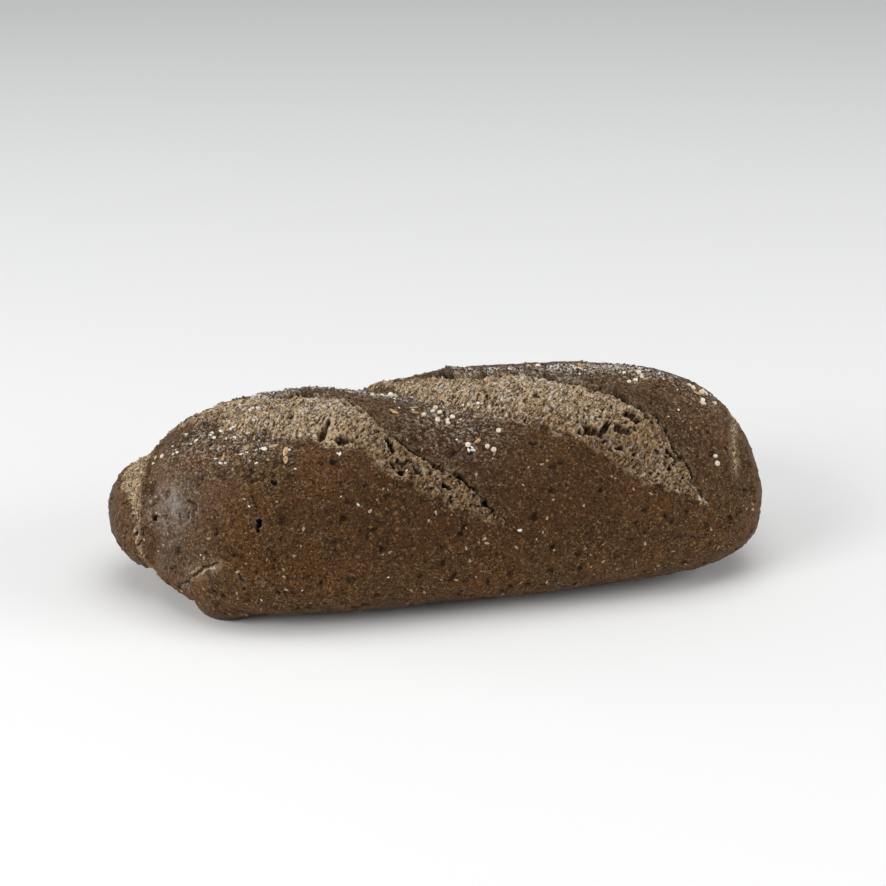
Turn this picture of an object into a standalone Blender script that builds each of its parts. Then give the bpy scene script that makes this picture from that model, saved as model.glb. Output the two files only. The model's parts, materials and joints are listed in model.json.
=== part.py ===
"""A long wholegrain loaf as one closed solid that rests on its flat base.

The bare body is a row of rings along X. A ring point is found by its turn: 0 at the top,
positive toward the front (-Y). On this loaf one degree of turn is about one millimetre of
girth, so places on the crust are written as (x, girth) in millimetres. The two cuts, the
torn end, the foot and the pits are relief on that body, and the seeds are fused to it.
"""

import math
import random

import bmesh
import bpy
import numpy as np
from mathutils import Matrix, Vector, noise
from mathutils.bvhtree import BVHTree

MM = 0.001

# Bare body
WIDTH = 132.8 * MM
HEIGHT = 87.2 * MM
WAIST_HEIGHT = 32.0 * MM
BELLY_X = 3.0 * MM
LEFT_REACH = 130.7 * MM
RIGHT_REACH = 139.4 * MM
PLAN_POWER = (3.05, 4.35)
CROWN_POWER = (2.75, 3.3)
BASE_POWER = (5.1, 4.0)
UPPER_RING_POWER = 2.0
LOWER_RING_POWER = 2.95
BASE_SINK = 1.04
SEAT = (0.3 * MM, 0.1 * MM)

# Folded left end and its foot
CAP_CENTRE = (-117.5 * MM, 13.4 * MM, 32.2 * MM)
CAP_RADII = (24.9 * MM, 30.2 * MM, 25.2 * MM)
CAP_SOFTNESS = 4.0 * MM
BEND_X = (-97.0 * MM, -137.0 * MM)
FOOT_CENTRE = (-98.4 * MM, -20.6 * MM, 12.4 * MM)
FOOT_RADII = (13.1 * MM, 18.2 * MM, 17.0 * MM)
FOOT_SOFTNESS = 14.0 * MM

# The strap of crust between the cuts, which held the crown down as it rose
STRAP_X = -21.0 * MM
STRAP_GIRTH = -25.0 * MM
STRAP_SLANT = 0.45
STRAP_WIDTH = 23.0 * MM
STRAP_DEPTH = 8.1 * MM

# Each cut runs at 45 degrees over the crust: rows of (along, front edge, back edge) in mm,
# where along is (x + girth) and the edges are (x - girth), both divided by the root of two.
CUT_ONE = ((-116, -50, -50), (-94, -58, -47), (-76, -69, -42), (-48, -77, -43), (-30, -73, -37),
           (-15, -69, -34), (2, -60, -43), (20, -64, -46), (36, -58, -43), (50, -54, -42),
           (68, -47, -45))
CUT_TWO = ((-58, 17, 19), (-44, 11, 20), (-30, 5, 18), (-13, -3, 16), (2, -10, 15), (18, -12, 20),
           (34, -11, 27), (48, -8, 35), (62, 0, 37), (76, 2, 38), (90, 4, 38), (108, 8, 30),
           (134, 17, 17))
FULL_WIDTH = 34.0 * MM
MOUND_RISE = 3.4 * MM
GAP_DEPTH = 3.6 * MM
GAP_WIDTH = 1.9 * MM
EAR_RISE = 1.7 * MM
EAR_SPREAD = 9.0 * MM
EAR_LEAN = 1.6 * MM
# Where the ear stands up over an open slot: (x, girth) of both ends, half width and rise in mm
FLAPS = ((-70, -5, -55, 0, 3.5, 2.4), (-49, 9, -35, 23, 3.5, 2.2), (6, -14, 26, -3, 3.2, 2.6),
         (71, 14, 82, 33, 3.0, 1.6))
CRUMB_LUMP = 1.1 * MM
CRUMB_LUMP_SIZE = 9.0 * MM

# Hollows torn open, and one pit: (x, girth) of both ends, half width and depth in mm
HOLLOWS = ((-69, -3, -62, 0.5, 2.4, 3.0), (-48, 11, -36, 23.5, 2.4, 4.0), (-57.5, 36.3, -52, 29.5, 2.2, 3.5),
           (-50, 37.6, -45.2, 39.2, 3.0, 3.5), (-29.6, 41.5, -28.2, 46.8, 2.0, 3.5),
           (-22.4, 42.6, -18.1, 47.8, 2.6, 4.5), (-15.6, 47.8, -13, 53.9, 2.6, 5.0),
           (-27.6, 53.8, -22, 54.6, 3.0, 2.0), (-9.6, 62.6, -8.1, 63.6, 2.0, 2.5),
           (9, -9.5, 22.5, -3.0, 2.0, 3.5), (70.5, 15.5, 75, 23, 2.2, 4.0), (75, 23, 80.8, 34, 2.0, 4.0),
           (81.4, 31, 86, 36.5, 2.4, 4.5), (82, 37.6, 85.4, 43.4, 2.2, 3.0), (76.3, 39, 78.7, 43.6, 3.0, 3.0),
           (56.4, 45.6, 61, 47.8, 2.6, 3.0), (69.6, 46.5, 72.5, 49.2, 2.6, 2.5),
           (-86.9, 69.4, -88.1, 73.6, 2.0, 4.5))

# Torn ring round the left end: turn in degrees, x of the crust's lip, x of the cap's edge
END_TEAR = ((-180, -119, -127), (-90, -111, -123), (-30, -117.5, -132.5), (-13, -123.5, -135),
            (20, -127.5, -136.5), (48, -130.3, -135), (96, -132.2, -134.2), (117, -130.7, -132.8),
            (135, -126, -129), (180, -119, -127))
END_TEAR_DEPTH = 0.9 * MM

# Grooves along the crust: corner points (x, girth) in mm, then half width and depth
GROOVES = ((((-119, 118), (-115, 104), (-111, 95.5), (-107, 90.5), (-104, 88.5)), 1.6 * MM, 1.8 * MM),
           (((136, 12), (134, 30), (126.5, 49), (124, 60), (122, 69)), 1.6 * MM, 0.6 * MM))

# Unevenness of the whole crust
CRUST_LUMP = 0.7 * MM
CRUST_LUMP_SIZE = 38.0 * MM

# Facets
RINGS = 260
TURNS = 236
BODY_TRIANGLES = 8100

# Seeds: name, length, width and height in mm
SEED_KINDS = {"millet": (2.3, 2.2, 2.0), "linseed": (4.8, 2.5, 1.3)}
SEED_SIDES = 5
SEED_STACKS = 4
SEED_SINK = 0.28
SEED_SPACING = 2.9 * MM
SEED_DRAW = 7
SEED_TRIES = 400

# Patches that carry seeds: x, girth, reach in x, reach in girth in mm, millet, linseeds
SEED_PATCHES = ((-19, -3, 9, 4, 4, 0), (-4, 25, 10, 9, 7, 2), (14, 44, 11, 8, 4, 1),
                (-25, 23, 4, 3, 0, 1), (1, 10, 4, 3, 0, 1), (88, 9, 6, 9, 4, 1),
                (121, 20, 6, 16, 8, 1), (115, 61, 5, 3, 2, 0), (-85, 26, 12, 9, 0, 3),
                (-72, 42, 4, 3, 0, 2), (-62, -9, 10, 2, 0, 2), (-119, 2, 3, 8, 1, 1),
                (-70, -52, 40, 16, 5, 4), (60, -40, 56, 16, 9, 4), (50, -8, 36, 5, 2, 2))


def smooth_step(low, high, value):
    share = np.clip((value - low) / (high - low), 0.0, 1.0)
    return share * share * (3.0 - 2.0 * share)


def falloff(distance, reach):
    return np.exp(-(distance / reach) ** 2)


def profile(share, power):
    """Half breadth, as a share of the full one, at a share of the way to the end."""
    return (1.0 - np.clip(np.abs(share), 0.0, 1.0) ** power) ** (1.0 / power)


def spine(x):
    """Middle of each ring: at the folded left end it bends back to the cap's centre."""
    bend = smooth_step(*BEND_X, x)
    return CAP_CENTRE[1] * bend, WAIST_HEIGHT + (CAP_CENTRE[2] - WAIST_HEIGHT) * bend


def lobe_reach(x, turn, centre, radii):
    """How far a round lobe reaches from the spine at a turn, or zero where it is absent."""
    mid_y, mid_z = spine(x)
    across, up = np.sin(turn), np.cos(turn)
    off_y, off_z = mid_y - centre[1], mid_z - centre[2]
    room = 1.0 - ((x - centre[0]) / radii[0]) ** 2
    a = (across / radii[1]) ** 2 + (up / radii[2]) ** 2
    b = 2.0 * (up * off_z / radii[2] ** 2 - across * off_y / radii[1] ** 2)
    c = (off_y / radii[1]) ** 2 + (off_z / radii[2]) ** 2 - room
    inside = b * b - 4.0 * a * c
    reach = (np.sqrt(np.maximum(inside, 0.0)) - b) / (2.0 * a)
    return np.where(inside > 0.0, np.maximum(reach, 0.0), 0.0)


def strap_dip(x, girth):
    """How far the crown is held down under the strap between the cuts."""
    middle = STRAP_X + STRAP_SLANT * (girth - STRAP_GIRTH)
    fade = smooth_step(-85 * MM, -40 * MM, girth) * smooth_step(62 * MM, -5 * MM, girth)
    return STRAP_DEPTH * fade * falloff(x - middle, STRAP_WIDTH)


def ring_reach(x, turn, girth):
    """Distance of the bare body from its spine."""
    right = x > BELLY_X
    share = (x - BELLY_X) / np.where(right, RIGHT_REACH, LEFT_REACH)
    half_width = WIDTH / 2 * profile(share, np.where(right, PLAN_POWER[1], PLAN_POWER[0]))
    crown = profile(share, np.where(right, CROWN_POWER[1], CROWN_POWER[0]))
    base = profile(share, np.where(right, BASE_POWER[1], BASE_POWER[0]))
    across, up = np.sin(turn), np.cos(turn)
    upper = up > 0.0
    rise = spine(x)[1] - WAIST_HEIGHT
    height = np.where(upper, (HEIGHT - WAIST_HEIGHT) * crown, WAIST_HEIGHT * BASE_SINK * base + rise)
    power = np.where(upper, UPPER_RING_POWER, LOWER_RING_POWER)
    least = 1e-7
    side = (np.abs(across) / np.maximum(half_width, least)) ** power
    top = (np.abs(up) / np.maximum(height, least)) ** power
    reach = (side + top) ** (-1.0 / power)
    reach = reach - strap_dip(x, girth) * np.clip(up, 0.0, 1.0)
    for centre, radii, softness in ((CAP_CENTRE, CAP_RADII, CAP_SOFTNESS),
                                    (FOOT_CENTRE, FOOT_RADII, FOOT_SOFTNESS)):
        lobe = lobe_reach(x, turn, centre, radii)
        nearness = np.maximum(softness - np.abs(reach - lobe), 0.0)
        reach = np.maximum(reach, lobe) + nearness ** 2 / (4.0 * softness)
    return reach


def cut_place(cut, x, girth):
    """Distance past a cut's front edge, distance short of its back edge, and its width."""
    along = (x + girth) / math.sqrt(2)
    across = (x - girth) / math.sqrt(2)
    stations, fronts, backs = (np.array(column) * MM for column in zip(*cut))
    front = np.interp(along, stations, fronts)
    back = np.interp(along, stations, backs)
    return across - front, back - across, back - front


def groove_distance(corners, x, girth):
    """Distance in the (x, girth) plane to a line through the corners."""
    nearest = np.full(np.shape(x), 1.0)
    for start, end in zip(corners[:-1], corners[1:]):
        start, end = np.array(start) * MM, np.array(end) * MM
        run = end - start
        share = ((x - start[0]) * run[0] + (girth - start[1]) * run[1]) / (run @ run)
        share = np.clip(share, 0.0, 1.0)
        gap = np.hypot(x - start[0] - share * run[0], girth - start[1] - share * run[1])
        nearest = np.minimum(nearest, gap)
    return nearest


def hollow_depth(rows, x, girth):
    """Depth of long or round hollows."""
    depth = np.zeros(np.shape(x))
    for start_x, start_girth, end_x, end_girth, half_width, full in rows:
        gap = groove_distance(((start_x, start_girth), (end_x, end_girth)), x, girth)
        bowl = full * MM * smooth_step(1.25 * half_width * MM, 0.35 * half_width * MM, gap)
        depth = np.maximum(depth, bowl)
    return depth


def lumps(points, size, seed):
    """Smooth unevenness between about -1 and 1 with lumps of the given size."""
    shifted = (points / size + seed * 17.3).reshape(-1, 3).tolist()
    values = [noise.fractal(place, 0.9, 2.1, 3) for place in shifted]
    return np.array(values).reshape(points.shape[:-1])


def cut_relief(cut, x, girth, crumb_lumps):
    """Height of the torn mound, the gap behind it and the raised ear, and the ear's lean."""
    past_front, short_of_back, width = cut_place(cut, x, girth)
    fullness = np.clip(width / FULL_WIDTH, 0.0, 1.0)
    inside = smooth_step(0.0, 2.5 * MM, past_front) * smooth_step(0.0, 1.5 * MM, short_of_back)
    share = np.clip(past_front / np.maximum(width, 1e-6), 0.0, 1.0)
    mound = MOUND_RISE * fullness * (4.0 * share * (1.0 - share)) ** 0.7
    torn = inside * (mound + CRUMB_LUMP * crumb_lumps)
    present = smooth_step(3 * MM, 9 * MM, width)
    opened = present * np.clip(0.65 + 0.9 * crumb_lumps, 0.0, 1.0)
    gap = GAP_DEPTH * opened * falloff(short_of_back - GAP_WIDTH, GAP_WIDTH)
    behind = smooth_step(1.2 * MM, -1.2 * MM, short_of_back)
    rise = EAR_RISE + hollow_depth(FLAPS, x, girth)
    ear = rise * present * behind * np.exp(-np.maximum(-short_of_back, 0.0) / EAR_SPREAD)
    lean = EAR_LEAN * opened * np.exp(-np.abs(short_of_back) / (2.0 * MM))
    return torn - gap + ear, lean


def end_tear_relief(x, turn):
    """The crumb that shows between the crust's lip and the cap is a little lower."""
    degrees, lips, edges = zip(*END_TEAR)
    lip = np.interp(np.degrees(turn), degrees, lips) * MM
    edge = np.interp(np.degrees(turn), degrees, edges) * MM
    ring = smooth_step(edge - 1.0 * MM, edge + 1.0 * MM, x) * smooth_step(lip + 0.7 * MM, lip - 0.7 * MM, x)
    return -END_TEAR_DEPTH * ring


def groove_relief(x, girth):
    total = np.zeros(np.shape(x))
    for corners, half_width, depth in GROOVES:
        total = total - depth * falloff(groove_distance(corners, x, girth), half_width)
    return total


def unit(vectors):
    return vectors / np.maximum(np.linalg.norm(vectors, axis=-1, keepdims=True), 1e-12)


def bare_points(x, turn):
    """Points of the bare body."""
    girth = np.degrees(turn) * MM
    reach = ring_reach(x, turn, girth)
    mid_y, mid_z = spine(x)
    return np.stack([x, mid_y - reach * np.sin(turn), mid_z + reach * np.cos(turn)], axis=-1)


def loaf_points(x, turn):
    """Grid of points with all the relief laid on along the body's normals."""
    girth = np.degrees(turn) * MM
    points = bare_points(x, turn)
    along = unit(np.gradient(points, axis=0))
    round_girth = unit(np.roll(points, -1, axis=1) - np.roll(points, 1, axis=1))
    normal = unit(np.cross(round_girth, along))
    crumb_lumps = lumps(points, CRUMB_LUMP_SIZE, 1)
    height = CRUST_LUMP * lumps(points, CRUST_LUMP_SIZE, 2)
    lean = np.zeros(np.shape(x))
    for cut in (CUT_ONE, CUT_TWO):
        cut_height, cut_lean = cut_relief(cut, x, girth, crumb_lumps)
        height = height + cut_height
        lean = lean + cut_lean
    height = height + end_tear_relief(x, turn) - hollow_depth(HOLLOWS, x, girth) + groove_relief(x, girth)
    above_floor = smooth_step(0.0, 8 * MM, points[..., 2])
    forward = unit(round_girth - along)
    points = points + normal * (height * above_floor)[..., None] + forward * lean[..., None]
    points[..., 2] = np.maximum(points[..., 2], 0.0)
    return points


def body_mesh():
    """Closed mesh of the loaf without seeds: rings joined by faces, and a fan at each end."""
    half_length = (RIGHT_REACH + BELLY_X - CAP_CENTRE[0] + CAP_RADII[0]) / 2
    middle = RIGHT_REACH + BELLY_X - half_length
    stations = middle - half_length * np.cos(np.linspace(0.0, math.pi, RINGS + 2)[1:-1])
    turns = np.linspace(-math.pi, math.pi, TURNS, endpoint=False)
    x, turn = np.meshgrid(stations, turns, indexing="ij")
    points = loaf_points(x, turn)
    points[..., :2] -= np.array(SEAT)
    mesh = bmesh.new()
    rings = [[mesh.verts.new(point) for point in ring] for ring in points.tolist()]
    for ring, following in zip(rings[:-1], rings[1:]):
        for step in range(TURNS):
            ahead = (step + 1) % TURNS
            mesh.faces.new((ring[step], ring[ahead], following[ahead], following[step]))
    left_tip = mesh.verts.new(points[0].mean(axis=0).tolist())
    right_tip = mesh.verts.new(points[-1].mean(axis=0).tolist())
    for step in range(TURNS):
        ahead = (step + 1) % TURNS
        mesh.faces.new((left_tip, rings[0][ahead], rings[0][step]))
        mesh.faces.new((right_tip, rings[-1][step], rings[-1][ahead]))
    bmesh.ops.triangulate(mesh, faces=mesh.faces[:])
    bmesh.ops.recalc_face_normals(mesh, faces=mesh.faces[:])
    return mesh


def new_object(name, mesh):
    data = bpy.data.meshes.new(name)
    mesh.to_mesh(data)
    mesh.free()
    made = bpy.data.objects.new(name, data)
    bpy.context.scene.collection.objects.link(made)
    return made


def apply_modifiers(target):
    """Replaces an object's mesh by what its modifiers give."""
    graph = bpy.context.evaluated_depsgraph_get()
    result = bpy.data.meshes.new_from_object(target.evaluated_get(graph))
    target.modifiers.clear()
    target.data = result


def thin_out(target):
    """Fewer facets where the crust is smooth."""
    modifier = target.modifiers.new("fewer_facets", "DECIMATE")
    modifier.ratio = BODY_TRIANGLES / len(target.data.polygons)
    apply_modifiers(target)
    for vertex in target.data.vertices:
        vertex.co.z = max(vertex.co.z, 0.0)


def on_torn_crumb(x, girth):
    return any(min(cut_place(cut, x, girth)[:2]) > -1.5 * MM for cut in (CUT_ONE, CUT_TWO))


def seed_places(draw):
    """Kind and (x, girth) of every seed, kept apart from each other and off the torn crumb."""
    places = []
    for middle_x, middle_girth, reach_x, reach_girth, millet, linseeds in SEED_PATCHES:
        wanted = ["millet"] * millet + ["linseed"] * linseeds
        for _ in range(SEED_TRIES):
            if not wanted:
                break
            x = (middle_x + draw.uniform(-1, 1) * reach_x) * MM
            girth = (middle_girth + draw.uniform(-1, 1) * reach_girth) * MM
            apart = all(math.hypot(x - other[1], girth - other[2]) > SEED_SPACING for other in places)
            if apart and not on_torn_crumb(x, girth):
                places.append((wanted.pop(), x, girth))
    return places


def add_seed(mesh, kind, location, normal, spin):
    """A low round body with pointed ends, lying on the crust and partly sunk in it."""
    length, width, height = (size * MM for size in SEED_KINDS[kind])
    turned = normal.to_track_quat("Z", "Y").to_matrix().to_4x4()
    lift = normal * height * (0.5 - SEED_SINK)
    scale = Matrix.Diagonal((length / 2, width / 2, height / 2, 1.0))
    place = Matrix.Translation(location + lift) @ turned @ Matrix.Rotation(spin, 4, "Z") @ scale
    lay_down = Matrix.Rotation(math.pi / 2, 4, "Y")
    bmesh.ops.create_uvsphere(mesh, u_segments=SEED_SIDES, v_segments=SEED_STACKS, radius=1.0,
                              matrix=place @ lay_down)


def fuse_seeds(loaf):
    """Joins the seeds to the loaf with one Boolean union on a collection."""
    draw = random.Random(SEED_DRAW)
    tree = BVHTree.FromPolygons([v.co for v in loaf.data.vertices],
                                [p.vertices for p in loaf.data.polygons])
    seeds = bpy.data.collections.new("seeds")
    bpy.context.scene.collection.children.link(seeds)
    for number, (kind, x, girth) in enumerate(seed_places(draw)):
        turn = math.radians(girth / MM)
        target = bare_points(np.array(x), np.array(turn)) - np.array((*SEAT, 0.0))
        location, normal, _, _ = tree.find_nearest(Vector(target.tolist()))
        mesh = bmesh.new()
        add_seed(mesh, kind, location, normal, draw.uniform(0.0, math.pi))
        data = bpy.data.meshes.new("seed")
        mesh.to_mesh(data)
        mesh.free()
        seeds.objects.link(bpy.data.objects.new(f"seed_{number}", data))
    modifier = loaf.modifiers.new("seeds", "BOOLEAN")
    modifier.operation = "UNION"
    modifier.operand_type = "COLLECTION"
    modifier.collection = seeds
    modifier.solver = "EXACT"
    apply_modifiers(loaf)
    for seed in list(seeds.objects):
        bpy.data.objects.remove(seed)
    bpy.data.collections.remove(seeds)


def crust_material():
    material = bpy.data.materials.new("dark_crust")
    material.use_nodes = True
    shader = material.node_tree.nodes["Principled BSDF"]
    shader.inputs["Base Color"].default_value = (0.105, 0.056, 0.030, 1.0)
    shader.inputs["Roughness"].default_value = 0.72
    shader.inputs["Metallic"].default_value = 0.0
    return material


def main():
    for old in list(bpy.data.objects):
        bpy.data.objects.remove(old)
    loaf = new_object("loaf", body_mesh())
    thin_out(loaf)
    fuse_seeds(loaf)
    loaf.data.materials.clear()
    loaf.data.materials.append(crust_material())
    loaf.data.shade_smooth()
    loaf.data.set_sharp_from_angle(angle=math.radians(50))


if __name__ == "__main__":
    main()
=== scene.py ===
"""Finishes a long wholegrain loaf: its crust, torn crumb, seeds and flour, on a pale stage.

The bare body is worked out as in the solid: rings along X, a ring point found by its turn, 0 at
the top and positive toward the front (-Y). One degree of turn is about one millimetre of girth,
so places on the crust are written as (x, girth) in millimetres.
"""

import json
import math
import random

import bpy
import numpy as np
from mathutils import Euler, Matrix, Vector, noise
from mathutils.bvhtree import BVHTree

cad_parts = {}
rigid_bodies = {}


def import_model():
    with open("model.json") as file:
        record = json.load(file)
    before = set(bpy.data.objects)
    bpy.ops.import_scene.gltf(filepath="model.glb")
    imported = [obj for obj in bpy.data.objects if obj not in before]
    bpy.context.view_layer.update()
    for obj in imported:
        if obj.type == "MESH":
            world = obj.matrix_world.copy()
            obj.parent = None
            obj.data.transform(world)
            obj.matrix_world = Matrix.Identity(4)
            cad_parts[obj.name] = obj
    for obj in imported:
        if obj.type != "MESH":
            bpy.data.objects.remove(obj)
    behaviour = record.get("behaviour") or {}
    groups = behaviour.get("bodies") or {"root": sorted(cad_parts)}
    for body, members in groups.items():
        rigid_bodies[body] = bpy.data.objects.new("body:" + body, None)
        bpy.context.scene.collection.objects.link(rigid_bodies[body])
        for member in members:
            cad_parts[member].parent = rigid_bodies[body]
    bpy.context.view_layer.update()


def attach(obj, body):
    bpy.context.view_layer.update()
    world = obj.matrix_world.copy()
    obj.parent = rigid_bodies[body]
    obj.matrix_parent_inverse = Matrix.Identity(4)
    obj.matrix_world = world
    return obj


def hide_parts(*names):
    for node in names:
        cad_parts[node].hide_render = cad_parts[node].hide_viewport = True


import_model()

bl_info = {
    "name": "Wholegrain loaf",
    "version": (1, 0, 0),
    "blender": (4, 5, 0),
    "location": "3D View > Sidebar > Loaf",
    "description": "Makes the crust, torn crumb, seeds and flour of a long scored loaf",
    "category": "Add Mesh",
}

MM = 0.001

# Bare body
WIDTH = 132.8 * MM
HEIGHT = 87.2 * MM
WAIST_HEIGHT = 32.0 * MM
BELLY_X = 3.0 * MM
LEFT_REACH = 130.7 * MM
RIGHT_REACH = 139.4 * MM
PLAN_POWER = (3.05, 4.35)
CROWN_POWER = (2.75, 3.3)
BASE_POWER = (5.1, 4.0)
UPPER_RING_POWER = 2.0
LOWER_RING_POWER = 2.95
BASE_SINK = 1.04
SEAT = (0.3 * MM, 0.1 * MM)

# Folded left end and its foot
CAP_CENTRE = (-117.5 * MM, 13.4 * MM, 32.2 * MM)
CAP_RADII = (24.9 * MM, 30.2 * MM, 25.2 * MM)
CAP_SOFTNESS = 4.0 * MM
BEND_X = (-97.0 * MM, -137.0 * MM)
FOOT_CENTRE = (-98.4 * MM, -20.6 * MM, 12.4 * MM)
FOOT_RADII = (13.1 * MM, 18.2 * MM, 17.0 * MM)
FOOT_SOFTNESS = 14.0 * MM

# The strap of crust between the cuts
STRAP_X = -21.0 * MM
STRAP_GIRTH = -25.0 * MM
STRAP_SLANT = 0.45
STRAP_WIDTH = 23.0 * MM
STRAP_DEPTH = 8.1 * MM
# Girths between which the dip under the strap sets in at the back and fades out at the front
STRAP_BACK_FADE = (-85.0 * MM, -40.0 * MM)
STRAP_FRONT_FADE = (62.0 * MM, -5.0 * MM)

# Each cut: rows of (along, front edge, back edge) in mm, at 45 degrees over the crust
CUT_ONE = ((-116, -50, -50), (-94, -58, -47), (-76, -69, -42), (-48, -77, -43), (-30, -73, -37),
           (-15, -69, -34), (2, -60, -43), (20, -64, -46), (36, -58, -43), (50, -54, -42),
           (68, -47, -45))
CUT_TWO = ((-58, 17, 19), (-44, 11, 20), (-30, 5, 18), (-13, -3, 16), (2, -10, 15), (18, -12, 20),
           (34, -11, 27), (48, -8, 35), (62, 0, 37), (76, 2, 38), (90, 4, 38), (108, 8, 30),
           (134, 17, 17))
CUTS = (CUT_ONE, CUT_TWO)
FULL_WIDTH = 34.0 * MM
MOUND_RISE = 3.4 * MM
EAR_RISE = 1.7 * MM
EAR_SPREAD = 9.0 * MM
EAR_LEAN = 2.6 * MM
# Where the ear stands up over an open slot: (x, girth) of both ends, half width and rise in mm
FLAPS = ((-70, -5, -55, 0, 3.5, 2.0), (-49, 9, -35, 23, 3.5, 2.4), (6, -14, 26, -3, 3.2, 2.6),
         (38, 6, 52, 8, 3.0, 1.6), (71, 14, 82, 33, 3.0, 1.8))
CRUST_LUMP = 0.7 * MM
CRUST_LUMP_SIZE = 38.0 * MM

# Widths of a cut over which its crumb, its trench and its ear grow from nothing
CRUMB_WIDTHS = (1.5 * MM, 6.0 * MM)
GAP_WIDTHS = (3.0 * MM, 9.0 * MM)
EAR_WIDTHS = (2.0 * MM, 9.0 * MM)
# The crust's trench under the crumb: its depth, and how far past each edge it slopes down
TRENCH_DEPTH = 7.0 * MM
TRENCH_WIDTH = 12.0 * MM
TRENCH_FRONT = (1.2 * MM, 4.2 * MM)
TRENCH_BACK = (-0.3 * MM, 0.9 * MM)
# How far past each edge the torn colour sets in
TORN_FRONT = (-1.0 * MM, 2.6 * MM)
TORN_BACK = (-0.1 * MM, 0.9 * MM)
# Where a painted shadow darkens the crust under a flap
FLAP_TOP = (-0.8 * MM, -0.1 * MM)
FLAP_FOOT = (6.0 * MM, 3.0 * MM)
FLAP_RISES = (0.3 * MM, 1.2 * MM)
# Ragged edges of the cuts
EDGE_WANDER = 3.6 * MM
EDGE_WANDER_SIZE = 7.0 * MM
EDGE_NICK = 1.3 * MM
EDGE_NICK_SIZE = 2.0 * MM

# Crumb: how it lies between the edges, and its own relief
CRUMB_STEP = 0.34 * MM
CRUMB_MARGIN = 4.0 * MM
CRUMB_SINK = 1.3 * MM
CRUMB_UNDER = 4.5 * MM
CRUMB_GAP_DEPTH = 5.4 * MM
CRUMB_DIP = 1.8 * MM
# Distances from an edge of the cut over which each of these sets in
CRUMB_FRONT = (-3.5 * MM, 1.5 * MM)
CRUMB_DIP_FADE = (11.0 * MM, 1.0 * MM)
CRUMB_GAP = (3.6 * MM, 1.0 * MM)
CRUMB_TUCK = (0.6 * MM, -1.6 * MM)
CRUMB_CALM = (-1.0 * MM, 4.0 * MM)
CRUMB_BODY = 9.0 * MM
CRUMB_LUMP = 2.0 * MM
CRUMB_LUMP_SIZE = 9.0 * MM
FOLD_RISE = 2.4 * MM
FOLD_SIZE = 7.5 * MM
FIBRE_RISE = 2.1 * MM
FIBRE_SIZE = 1.6 * MM
FIBRE_STRETCH = 4.8
CRUMB_BEND_SIZE = 4.5 * MM
WEB_RISE = 0.3 * MM
WEB_SIZE = 1.0 * MM
PORE_DEPTH = 2.4 * MM
PORE_CELL = 5.5 * MM
SMALL_PORE_DEPTH = 1.3 * MM
SMALL_PORE_CELL = 2.6 * MM
GRAIN_RISE = 0.14 * MM
GRAIN_SIZE = 0.7 * MM
CRUMB_SLIDE = 0.2 * MM
CRUMB_SLIDE_SIZE = 1.3 * MM
# How the crumb's fine colour is turned and drawn out
TEAR_TURN = (0.0, 0.0, math.pi / 4)
TEAR_STRETCH = (4.5, 1.0, 2.0)

# Hollows torn open in the crumb: (x, girth) of both ends, half width and depth in mm
HOLLOWS = ((-69, -3, -62, 0.5, 1.6, 5.5), (-60, 0.8, -55, 1.5, 1.3, 5),
           (-54.5, 9.5, -51, 10, 1.3, 2.5), (-48, 11, -43, 15, 1.4, 5),
           (-43, 15.5, -36, 23.5, 1.9, 6.5), (-57.5, 36.3, -52, 29.5, 1.5, 4.5),
           (-50, 37.6, -45.2, 39.2, 2.3, 4.5), (-32.5, 35.8, -30, 36.8, 1.6, 3.5),
           (-29.6, 41.5, -28.2, 46.8, 1.3, 4), (-22.4, 42.6, -18.1, 47.8, 2.1, 6),
           (-15.6, 47.8, -13, 53.9, 2.1, 6.5), (-10.6, 55.1, -9.2, 56.4, 1.2, 3.5),
           (-7.3, 56, -3.3, 57.8, 0.9, 3), (-27.6, 53.8, -22, 54.6, 2.8, 2),
           (-27.8, 56, -26, 56.6, 1.2, 5), (-20.9, 54.5, -19.7, 58.2, 1, 3.5),
           (-9.6, 62.6, -8.1, 63.6, 1.1, 3.5), (9, -10, 15.5, -6.2, 1.5, 5),
           (16.5, -5, 22.5, -3.2, 1.2, 4.5), (70.5, 15.5, 74.5, 22, 1.5, 5),
           (75, 23, 80.8, 34, 1.2, 5), (81.4, 31, 86, 36.5, 1.7, 5.5), (86, 38, 96, 60, 0.9, 4.5),
           (82, 37.6, 85.4, 43.4, 1.7, 3.5), (76.3, 39, 78.7, 43.6, 2.4, 3.2),
           (56.4, 45.6, 61, 47.8, 2, 4), (61.5, 47.5, 66.2, 44.2, 1.4, 3.5),
           (69.6, 46.5, 72.5, 49.2, 2, 2.8), (90.8, 57, 93, 61, 1.3, 3.5), (94, 40, 102, 56, 0.6, 2),
           (38, 8, 40, 14, 0.8, 2), (-94, 2, -90, 4, 0.8, 2))
PIT_RIM = 0.15 * MM
HOLLOW_RIM = 0.5 * MM
HOLLOW_WOBBLE = 0.9
HOLLOW_WOBBLE_SIZE = 2.6 * MM
# Pits in the crust: the same columns
PITS = ((-79.9, 53.1, -79.1, 54, 1, 1.9), (-86.9, 69.4, -87.2, 71.6, 1.2, 5),
        (-87.9, 72, -88.1, 73.6, 0.8, 3), (-81.3, 99.9, -80.6, 100.5, 0.8, 2.2),
        (-125.4, 68.3, -125.8, 73, 0.7, 2.4), (-112.8, 57.6, -110.6, 59.8, 0.7, 0.9),
        (-104, 63, -102.6, 66, 0.6, 0.8))

# Torn ring round the left end: turn in degrees, x of the crust's lip, x of the cap's edge
END_TEAR = ((-180, -121, -126), (-90, -112, -119), (-30, -117.5, -132.5), (-13, -123.5, -135),
            (20, -127.5, -136.5), (48, -130.3, -135), (96, -132.2, -134.2), (117, -130.7, -132.8),
            (135, -126, -129), (180, -121, -126))
END_TEAR_DEPTH = 0.9 * MM
END_LIP = 0.7 * MM
END_WEB_RISE = 1.4 * MM
END_WEB_SIZE = 1.6 * MM
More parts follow.
